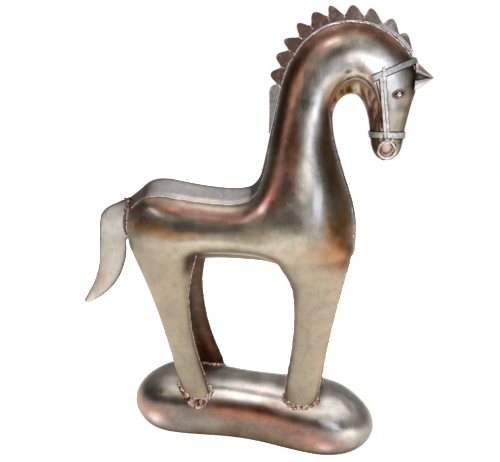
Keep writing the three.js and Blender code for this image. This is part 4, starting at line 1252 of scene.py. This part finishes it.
def head_section(spec, offset):
    """The head's outline where a plane through the strap's line, moved sideways by offset, cuts it: its
    middle's distance along the line, and the reach from there at each angle from the brow round."""
    g = grids()
    inside = (g["station"] >= spec["stations"][0] - 1.5) & (g["station"] <= spec["stations"][1] + 1.5)
    start, run, across = strap_line(spec)
    hits = []
    every, early, late = slice(None), slice(None, -1), slice(1, None)
    for name in ("side", "upper", "lower"):
        grid = g[name][inside]
        height = (grid[..., [0, 2]] - start) @ across - offset
        for one, other in (((early, every), (late, every)), ((every, early), (every, late))):
            a, b = height[one], height[other]
            cut = (a > 0) != (b > 0)
            part = (a[cut] / (a[cut] - b[cut]))[:, None]
            point = mix(grid[one][cut], grid[other][cut], part)
            hits.append(np.stack([(point[:, [0, 2]] - start) @ run, -point[:, 1]], axis=-1))
    hits = np.concatenate(hits)
    middle = (hits[:, 0].min() + hits[:, 0].max()) / 2
    angle = np.arctan2(hits[:, 1], hits[:, 0] - middle)
    order = np.argsort(angle)
    return middle, angle[order], np.linalg.norm(hits - (middle, 0), axis=1)[order]


def strap_round(spec, thickness, lift):
    """A strip that follows the head's outline from one side over the brow to the other, standing out
    further at the brow. Each of its lines across the width lies on its own section of the head."""
    start, run, across = strap_line(spec)
    lines = []
    for offset in np.linspace(-0.5, 0.5, 7) * spec["width"]:
        middle, angle, reach = head_section(spec, offset)
        fine = np.linspace(np.pi - 0.02, 0, 600)
        begin = np.argmax(middle + np.interp(fine, angle, reach) * np.cos(fine) > 0)
        turn = np.linspace(fine[begin], 0, 65)
        out = np.interp(turn, angle, reach) + lift + spec["brow"] * bell(turn, 0, 0.45) + thickness / 2
        ahead = middle + out * np.cos(turn)
        near = upright(start + ahead[:, None] * run + offset * across, -out * np.sin(turn))
        lines.append(np.concatenate([near, mirrored(near[-2::-1])]))
    smooth = np.stack(lines, axis=1)
    for _ in range(6):
        smooth[1:-1] = (smooth[:-2] + 2 * smooth[1:-1] + smooth[2:]) / 4
    return smooth


def make_bridle():
    thickness = sizes().strip / MM
    painted_shadow = Skin(rim=0.0)
    for spec, name, replaced in (
            (CROWN_STRAP, "crown_strip", "crown_strap"), (NOSEBAND, "nose_strip", "noseband")):
        skin = Skin(rim=0.0)
        thick_sheet(skin, strap_round(spec, thickness, STRAP_LIFT), thickness / 2)
        skin.piece(name, material("strap"), [replaced], "bridle_strap", sharp=50)
        # A wider dark sheet laid under each strap is painted shadow along its edges.
        wide = {**spec, "width": spec["width"] + 2 * SHADOW_SHEET["reach"]}
        thick_sheet(painted_shadow, strap_round(wide, SHADOW_SHEET["thickness"], SHADOW_SHEET["lift"]), SHADOW_SHEET["half"])
    for name, side in SIDES.items():
        cheek, hanger = Skin(rim=0.0), Skin(rim=0.0)
        cheek_strips(cheek, painted_shadow, side, thickness)
        ring_hanger(hanger, side, thickness)
        for skin, called, replaced in (
                (cheek, "cheek_strip", "cheek_strap"), (hanger, "ring_strip", "ring_hanger")):
            skin.piece(
                f"{called}_{name}", material("cheek"), [f"{replaced}_{name}"], "bridle_strap", sharp=50)
        # A dark flattened tube under each ring is painted shadow round it.
        turn = np.linspace(0, 2 * np.pi, 60)
        circle = np.stack([np.cos(turn), np.sin(turn)], axis=-1) * RING["radius"] + (RING["x"], RING["z"])
        tube(painted_shadow, upright(circle, side * (RING["y"] - RING["wire"])), 3.3, 8, squeeze=0.35)
        # A dark tube along the jaw crease is painted shade in the crease.
        line = through(JAW_CREASE, np.linspace(0, len(JAW_CREASE) - 1, 60))
        out = surface_distance(line, CHEEK_STRAP["stations"]) + SHADOW_SHEET["crease_lift"]
        tube(painted_shadow, upright(line, side * out), SHADOW_SHEET["crease_radius"], 6)
    painted_shadow.piece("bridle_painted_shadow", material("painted_shadow"), (), "bridle_strap", sharp=60)


def cheek_strips(skin, painted_shadow, side, thickness):
    """Two strips side by side down the cheek, over the crown strap and the noseband, and solder below."""
    start, run, across = strap_line(CHEEK_STRAP)
    reach = np.linalg.norm(np.array(CHEEK_STRAP["to"]) - start)
    down = np.linspace(0, 1, 90) * reach
    centre = start + down[:, None] * run
    over = sum(
        lift * np.clip((half - np.abs(down - at)) / CHEEK_STRAP["climb"], 0, 1)
        for at, (half, lift) in ((CHEEK_STRAP["crown_at"], CHEEK_STRAP["over_crown"]),
                                 (reach, CHEEK_STRAP["over_nose"])))
    # across from and to, lift off the head, rows left off at the top, thickness, where it goes
    plates = ((-4.9, -0.3, 0.9, 12, thickness, skin), (0.4, 4.9, 1.3, 0, thickness, skin),
              (-6.4, 5.9, 0.2, 13, SHADOW_SHEET["thickness"], painted_shadow))
    for low, high, lift, first, thick, into in plates:
        grid = centre[first:, None] + np.linspace(low, high, 7)[None, :, None] * across
        out = surface_distance(grid, CHEEK_STRAP["stations"]) + over[first:, None] + lift + thick / 2
        thick_sheet(into, upright(grid, side * out), thick / 2)


def ring_hanger(skin, side, thickness):
    """A short strip from under the noseband that folds round the ring's wire."""
    fold = np.linspace(0.6, np.pi, 8)
    z = np.concatenate([np.linspace(*HANGER["straight_z"], 4), HANGER["z"] + HANGER["fold"] * np.cos(fold)])
    out = RING["y"] + np.concatenate([np.linspace(0.5, 1.0, 4), HANGER["fold"] * np.sin(fold)])
    x = RING["x"] + np.linspace(-0.5, 0.5, 5) * HANGER["width"]
    grid = np.stack(np.broadcast_arrays(x[None], side * out[:, None], z[:, None]), axis=-1)
    thick_sheet(skin, grid, HANGER["thinned"] * thickness / 2)
    for (ahead, further, height), reach, seed in HANGER["blobs"]:
        blob(skin, (RING["x"] + ahead, side * (RING["y"] + further), height), reach, seed)


def make_rings():
    for name, side in SIDES.items():
        skin = Skin(rim=0.0)
        turn, angle = np.meshgrid(
            np.linspace(0, 2 * np.pi, 73), np.linspace(0, 2 * np.pi, 17), indexing="ij")
        out = RING["radius"] + RING["wire"] * np.cos(angle)
        circle = np.stack([RING["x"] + out * np.cos(turn), RING["z"] + out * np.sin(turn)], axis=-1)
        grid = upright(circle, side * RING["y"] + RING["wire"] * np.sin(angle))
        grid[-1], grid[:, -1] = grid[0], grid[:, 0]
        skin.patch(grid)
        skin.piece(f"wire_ring_{name}", material("fitting"), [f"bit_ring_{name}"], "fittings", sharp=80)


def make_eyes():
    turn = np.linspace(0, 2 * np.pi, 65)
    rise = EYE["height"] * np.sin(turn) * np.abs(np.sin(turn)) ** 0.45 + EYE["tilt"] * np.cos(turn)
    almond = np.stack([EYE["x"] + EYE["length"] * np.cos(turn), EYE["z"] + rise], axis=-1)
    middle = np.array([EYE["x"], EYE["z"]])
    cheek = surface_distance(middle[None], EYE["stations"])[0]
    out = surface_distance(almond, EYE["stations"]) + EYE["lid_lift"]
    thick = EYE["lid"] * (0.55 + 0.45 * np.abs(np.sin(turn)) ** 0.7)
    inward = np.linspace(0, 1, 8)[None, :, None]
    for name, side in SIDES.items():
        lids, socket, ball = (Skin(rim=0.0) for _ in range(3))
        path = upright(almond, side * out)
        run = unit(np.roll(path[:-1], -1, axis=0) - np.roll(path[:-1], 1, axis=0))
        grid = rod(path, np.vstack([run, run[:1]]), thick, 12, 1.1)
        grid[-1], grid[:, -1] = grid[0], grid[:, 0]
        lids.patch(grid)
        lids.piece(f"eye_rim_{name}", material("lid"), [f"eyelids_{name}"], "fittings", sharp=60)
        # A dark hollow laid inside the lids is painted shade of the eye's socket.
        depth = side * (mix(out[:, None], out.mean(), inward[..., 0]) + 0.25)
        hollow = upright(mix(almond[:, None], middle, inward), depth)
        hollow[-1] = hollow[0]
        rear = hollow - np.array([0, side * EYE["socket"], 0])
        socket.patch(np.concatenate([hollow[:, ::-1], rear], axis=1))
        socket.piece(f"eye_socket_painted_shade_{name}", material("painted_shadow"), (), "fittings", sharp=80)
        centre = np.array([EYE["x"] + 0.5, side * (cheek - EYE["sunk"]), EYE["z"] - 0.3])
        ball.patch(centre + EYE["ball"] * globe(33, 17)[..., [0, 2, 1]] * [1, 0.9 * side, 1])
        ball.piece(f"eye_ball_{name}", material("fitting"), [f"eye_{name}"], "fittings", sharp=80)


def make_ears():
    """Each ear is a cone of folded sheet whose section is an open loop: it starts at the upper lip, runs
    round the inner side and ends at the lower lip, so that the mouth of the fold faces outwards. The
    lips turn in, and the mouth closes towards the tip."""
    share = np.linspace(-0.1, 0.985, 44)[:, None]
    mouth = mix(*EAR["mouth"], np.clip(share, 0, 1))
    loop = mouth + (2 * np.pi - 2 * mouth) * np.linspace(0, 1, 73)[None]
    root, tip = (np.array(EAR[key], float) for key in ("root", "tip"))
    shrink = np.clip(1 - share, 0.03, 1)
    lips = bell(np.minimum(loop, 2 * np.pi - loop), mouth, EAR["lip"])
    drawing = mix(root, tip, share[..., None]) + 0 * loop[..., None]
    drawing[..., 1] += EAR["root_height"] * shrink * np.sin(loop)
    out = EAR["y"] + EAR["root_width"] * shrink * (np.cos(loop) - EAR["lip_turn"] * lips)
    # Painted light on the ear: the silver patch near the root of the lower face is a painted highlight, and
    # the dark brown where the lips turn in is painted shade in the fold's mouth.
    coppery = 0.35 * np.sin(loop)[..., None].clip(0, 1)
    painted_root_highlight = (bell(loop, 5.2, 0.5) * bell(share, 0.1, 0.22))[..., None]
    inside = np.clip(1.4 * lips, 0, 1)[..., None] ** 2
    colours = mix(mix(bare("ears"), tone("copper"), coppery), tone("silver"), painted_root_highlight)
    tint = np.concatenate([mix(colours, tone("soot_and_shade"), inside).reshape(-1, 3)] * 2)
    edge = np.tile(tone("silver"), (2 * (sum(loop.shape) - 2), 1))
    tint = np.concatenate([tint, edge])
    for name, side in SIDES.items():
        skin = Skin(rim=0.0, **SHEET_LAYERS)
        thick_sheet(skin, upright(drawing, side * out), EAR["half"], seam=30.0, tint=tint)
        skin.piece(f"ear_fold_{name}", material("tail"), [f"ear_{name}"], "tail_sheet", sharp=50)


# How far the weld reaches up the leg's side, out and down, how it wanders, and how thick it lies.
COLLAR = {
    "step": 0.8, "columns": 14, "inward": 3.5, "outward": 4.6, "wander": 1.5, "height": 2.6, "lumps": 2.2,
    "limits": (0.3, 6), "sunk": 0.5, "climb": 2.5, "depth": 3.0,
}


def foot_collar(skin, heart, ring, seed):
    """The weld round a foot: a skirt of puddled metal between the leg and the base. Its height is a half
    wave across, times a sum of waves, and its outer edge wanders; its colour follows its height."""
    ring = evenly(ring, COLLAR["step"])
    across = np.linspace(0, 1, COLLAR["columns"])[None]
    away = unit((ring - heart) * [1, 1, 0])[:, None]
    reach = COLLAR["outward"] + COLLAR["wander"] * wobble(ring, 16, seed)[:, None]
    path = ring[:, None] + away * mix(-COLLAR["inward"], reach, across)[..., None]
    level = path * [1, 1, 0]
    lumps = 0.6 * wobble(level, 9, seed + 1) + 0.5 * wobble(level, 4.2, seed + 2)
    puddle = np.clip(COLLAR["height"] + COLLAR["lumps"] * lumps, *COLLAR["limits"])
    rise = np.sin(np.pi * across) ** 0.6 * puddle - COLLAR["sunk"] + COLLAR["climb"] * (1 - across) ** 3
    path[..., 2] = base_height(path[..., 0], path[..., 1]) + rise
    path[-1] = path[0]
    shine = np.clip(0.5 + 0.9 * lumps, 0, 1)[..., None]
    crown = mix(bare("collars"), tone("bright"), shine)
    skin.patch(path, tint=mix(tone("umber"), crown, np.clip(shine * 2.2, 0, 1)))
    below = path - (0, 0, COLLAR["depth"])
    for column in (0, -1):
        skin.patch(np.stack([path[:, column], below[:, column]], axis=1), tint=tone("soot_and_shade"))
    skin.patch(below, tint=tone("soot_and_shade"))


# Seam, share of the bead's radius, colour.
SEAM_BEADS = [
    ("belly", 0.7, "umber"), ("chest", 0.8, "silver"), ("hind_rear", 0.8, "champagne"),
    ("hind_front", 0.8, "champagne"), ("fore_rear", 0.8, "champagne"), ("fore_front", 0.8, "champagne"),
    ("jaw", 0.6, "umber"), ("rump", 0.9, "champagne"),
]
# Below each notch of the mane: how far down, reach, colour.
NOTCH_BLOBS = [(1.5, 1.9, "silver"), (5.5, 1.5, "copper"), (9.0, 1.2, "silver")]
SPATTER = {
    "count": 18, "away": (-1.5, 4), "scatter": 0.8, "up": (0.0, 1.6), "copper": 0.5, "size": (0.35, 0.85),
    "flattened": 0.65,
}
ROOT_WELD = {
    "blobs": 26, "x": -264, "scatter": 3, "y": -3.5, "z": (408, 487), "size": (1.0, 3.0), "radius": 2.2,
}
SEEDS = {
    "draws": 5, "back": 60, "crest": 70, "seams": 100, "collars": 300, "spatter": 400, "root_bead": 500,
    "notches": 600, "root_blobs": 900,
}
TAIL_ROOT = [(-259, -3, 481), (-266, -4, 466), (-270, -4.5, 450), (-273, -4.5, 432), (-272, -4, 412),
             (-270, -3, 405)]


def foot_line(name):
    """Where a leg's outer and inner faces meet the base's top, once round."""
    loop = []
    for rows in (grids()["legs"][name], grids()["inner"][name][:, ::-1]):
        above = rows[..., 2] - base_height(rows[..., 0], rows[..., 1])
        last = (above > 0).sum(0).clip(1, len(rows) - 1)
        column = np.arange(rows.shape[1])
        a, b = above[last - 1, column], above[last, column]
        part = np.clip(a / (a - b), 0, 1)[:, None]
        loop.append(mix(rows[last - 1, column], rows[last, column], part))
    return np.concatenate([loop[0], loop[1][1:]])


def make_welds():
    """Beads along the seams, and the heavier welds round the feet and at the tail's root."""
    small, big = sizes().bead / MM, sizes().foot_bead / MM
    seams = seam_paths()
    skin, ridge_line, root_weld = Skin(tint=SHEET_LAYERS["tint"]), Skin(rim=0.0), Skin(rim=0.0)
    rng = np.random.default_rng(SEEDS["draws"])
    for side in SIDES.values():
        bead(ridge_line, mirrored(seams["back"], side), small * 0.9, SEEDS["back"] + side, 0.1, 0.25)
        bead(skin, mirrored(seams["crest"], side), small * 1.25, SEEDS["crest"] + side, 0.1, 0.22,
             tint=tone("bright"))
    ridge_line.piece("back_seam_bead", material("fitting"), (), "fittings", sharp=60)
    for n, (name, share, shade) in enumerate(SEAM_BEADS):
        for side in SIDES.values():
            seed = SEEDS["seams"] + 10 * n + side
            bead(skin, mirrored(seams[name], side), small * share, seed, tint=tone(shade))
    crest = crest_line(MANE["stations"], 300)
    for n, notch in enumerate(MANE["notches"]):
        down = unit(crest[nearest(crest, notch)] - notch)
        for k, (drop, reach, shade) in enumerate(NOTCH_BLOBS):
            x, z = notch + down * drop
            centre = (x + rng.normal(0, 0.8), -1.2, z)
            blob(skin, centre, (reach, 1.6, reach), SEEDS["notches"] + 5 * n + k, tint=tone(shade))
    for n, name in enumerate(LEGS):
        path = foot_line(name)
        heart = path.mean(0)
        wider = path + 3.0 * unit((path - heart) * [1, 1, 0])
        wider[:, 2] = base_height(wider[:, 0], wider[:, 1]) + 0.5
        for side in SIDES.values():
            ring, middle = mirrored(wider, side), mirrored(heart, side)
            foot_collar(skin, middle, ring, SEEDS["collars"] + 10 * n + side)
            for k, at in enumerate(rng.uniform(0, 1, SPATTER["count"])):
                centre = ring[int(at * (len(ring) - 1))]
                away = unit((centre - middle) * [1, 1, 0])
                centre = centre + away * rng.uniform(*SPATTER["away"]) + rng.normal(0, SPATTER["scatter"], 3)
                centre[2] = base_height(centre[0], centre[1]) + rng.uniform(*SPATTER["up"])
                shade = mix(tone("bright"), tone("copper"), rng.uniform(0, SPATTER["copper"]))
                reach = big * rng.uniform(*SPATTER["size"], 3) * (1, 1, SPATTER["flattened"])
                blob(skin, centre, reach, SEEDS["spatter"] + k + 40 * n, tint=shade)
    for k in range(ROOT_WELD["blobs"]):
        x = ROOT_WELD["x"] + rng.normal(0, ROOT_WELD["scatter"])
        centre = (x, ROOT_WELD["y"], rng.uniform(*ROOT_WELD["z"]))
        blob(root_weld, centre, rng.uniform(*ROOT_WELD["size"], 3), SEEDS["root_blobs"] + k)
    line = through(TAIL_ROOT, np.linspace(0, len(TAIL_ROOT) - 1, 80))
    for side in SIDES.values():
        bead(root_weld, mirrored(line, side), ROOT_WELD["radius"], SEEDS["root_bead"] + side, 0.4, 0.6)
    root_weld.piece("tail_root_weld", material("lid"), (), "fittings", sharp=60)
    skin.piece("weld_beads", material("weld"), (), "fittings", sharp=60)


# ---------------------------------------------------------------- stage
FLOOR = (-1.6, 3.0, -2.2, 4.0)
CAMERA = {
    "azimuth": 13.7, "elevation": 14.3, "distance": 1030, "target": (0, 0, 430), "lens": 37.1, "sensor": 36.0,
}
# In metres and watts: place, target, width, height, power, colour, roll in degrees, whether metal shows it.
LAMPS = {
    "overhead": ((0, 0, 3.2), (0, 0, 0.45), 4.0, 4.0, 100, "#FFFFFF", 0, False),
    "window": ((1.20, -1.98, 0.95), (0.1, 0.0, 0.6), 0.55, 1.0, 8.2, "#DCE7FF", 10, True),
    "head_lamp": ((0.51, -1.17, 0.99), (0.21, 0.0, 0.745), 0.34, 0.34, 1.3, "#FFFAF4", 0, True),
    "lamp": ((-1.40, -1.42, 1.36), (0.0, 0.0, 0.5), 0.5, 0.34, 3.4, "#FFF4F0", 0, True),
    "high_lamp": ((-0.36, -1.48, 2.07), (0.1, 0.0, 0.7), 0.3, 0.3, 1.9, "#FFF6F2", 0, True),
    "low_lamp": ((1.05, -0.45, 0.08), (0.22, -0.06, 0.05), 0.4, 0.1, 0.55, "#FFF8F0", 0, True),
}


def soft_box(name, place, target, width, height, power, shade, roll, glossy):
    light = bpy.data.lights.new(name, "AREA")
    light.shape, light.size, light.size_y = "RECTANGLE", width, height
    light.energy, light.color = power, linear(shade)
    lamp = bpy.data.objects.new(name, light)
    lamp.location = place
    aim = (Vector(target) - Vector(place)).to_track_quat("-Z", "Y")
    lamp.rotation_euler = (aim @ Quaternion((0, 0, 1), math.radians(roll))).to_euler()
    lamp.visible_glossy = glossy
    lamp.visible_camera = False
    bpy.context.scene.collection.objects.link(lamp)


def make_stage():
    scene = bpy.context.scene
    scene.view_settings.view_transform = "Standard"
    turn, rise = (math.radians(CAMERA[key]) for key in ("azimuth", "elevation"))
    back = Vector((math.sin(turn) * math.cos(rise), -math.cos(turn) * math.cos(rise), math.sin(rise)))
    target = Vector(CAMERA["target"]) * MM
    camera = bpy.data.objects.new("camera", bpy.data.cameras.new("camera"))
    camera.data.lens, camera.data.sensor_width = CAMERA["lens"], CAMERA["sensor"]
    camera.data.clip_end = 100.0
    camera.location = target + back * CAMERA["distance"] * MM
    camera.rotation_euler = (-back).to_track_quat("-Z", "Y").to_euler()
    scene.collection.objects.link(camera)
    scene.camera = camera

    floor_mesh = bpy.data.meshes.new("floor")
    left, right, front, rear = FLOOR
    floor_mesh.from_pydata([(left, front, 0), (right, front, 0), (right, rear, 0), (left, rear, 0)], [],
                           [(0, 1, 2, 3)])
    painted, tree = new_material("painted_floor")
    seen = node(tree, "ShaderNodeLightPath").outputs["Is Camera Ray"]
    shader = node(tree, "ShaderNodeBsdfPrincipled", {
        "Base Color": tone("floor"), "Roughness": 0.9, "Emission Color": tone("floor"),
        "Emission Strength": times(tree, seen, 0.78)})
    node(tree, "ShaderNodeOutputMaterial", {"Surface": shader.outputs[0]})
    floor_mesh.materials.append(painted)
    floor = bpy.data.objects.new("floor", floor_mesh)
    scene.collection.objects.link(floor)

    world = bpy.data.worlds.new("studio")
    world.use_nodes = True
    tree = world.node_tree
    tree.nodes.clear()
    direction = node(tree, "ShaderNodeTexCoord").outputs["Generated"]
    part = node(tree, "ShaderNodeSeparateXYZ", {0: direction}).outputs
    behind = ramp(tree, part["Y"], -0.05, 0.5)
    room = blend(tree, behind, linear("#49423A"), linear("#8C8A88"))
    room = blend(tree, ramp(tree, part["Z"], 0.60, 0.97), room, (2.7, 2.6, 2.55))
    around = node(tree, "ShaderNodeBackground", {"Color": room, "Strength": 1.0})
    plain = node(tree, "ShaderNodeBackground", {"Color": linear("#FFFFFF")})
    seen = node(tree, "ShaderNodeLightPath").outputs["Is Camera Ray"]
    shown = node(tree, "ShaderNodeMixShader", {0: seen, 1: around.outputs[0], 2: plain.outputs[0]})
    node(tree, "ShaderNodeOutputWorld", {"Surface": shown.outputs[0]})
    scene.world = world

    for name, values in LAMPS.items():
        soft_box(name, *values)


# ---------------------------------------------------------------- add-on
def operator(name, label, text, build):
    """An operator class that runs one builder."""

    def execute(self, context):
        build()
        return {"FINISHED"}

    return type(f"HORSE_OT_{name}", (bpy.types.Operator,), {
        "bl_idname": f"horse.{name}", "bl_label": label, "__doc__": text, "execute": execute,
        "bl_options": {"REGISTER", "UNDO"}})


OPERATORS = [
    operator("base", "Base", "Builds the pillow-shaped base", make_base),
    operator("body", "Body", "Builds the dished sheets of trunk, neck, head and legs", make_body),
    operator("tail", "Tail", "Builds the tail blade", make_tail),
    operator("mane", "Mane", "Builds the toothed plate on the crest", make_mane),
    operator("tongue", "Tongue", "Builds the plain plate before the first tooth", make_tongue),
    operator("bridle", "Bridle", "Builds the crown strap, noseband, cheek straps and hangers", make_bridle),
    operator("rings", "Rings", "Builds the bit rings", make_rings),
    operator("eyes", "Eyes", "Builds the eyes and their lids", make_eyes),
    operator("ears", "Ears", "Builds the folded ears", make_ears),
    operator("welds", "Welds", "Builds the weld beads", make_welds),
    operator("stage", "Stage", "Sets up floor, lights and camera", make_stage),
]


class HORSE_PT_panel(bpy.types.Panel):
    """The steps that build the horse, and the sizes and colours that they use"""

    bl_idname = "HORSE_PT_panel"
    bl_label = "Sheet metal horse"
    bl_space_type = "VIEW_3D"
    bl_region_type = "UI"
    bl_category = "Horse"

    def draw(self, context):
        for group in (context.scene.horse_sizes, context.scene.horse_colours):
            for name in group.__annotations__:
                self.layout.prop(group, name)
        for step in OPERATORS:
            self.layout.operator(step.bl_idname)


CLASSES = [HorseSizes, HorseColours, *OPERATORS, HORSE_PT_panel]


def register():
    for item in CLASSES:
        bpy.utils.register_class(item)
    bpy.types.Scene.horse_sizes = bpy.props.PointerProperty(type=HorseSizes)
    bpy.types.Scene.horse_colours = bpy.props.PointerProperty(type=HorseColours)


def unregister():
    del bpy.types.Scene.horse_sizes
    del bpy.types.Scene.horse_colours
    for item in reversed(CLASSES):
        bpy.utils.unregister_class(item)


def main():
    register()
    for step in OPERATORS:
        family, name = step.bl_idname.split(".")
        getattr(getattr(bpy.ops, family), name)()


if __name__ == "__main__":
    main()
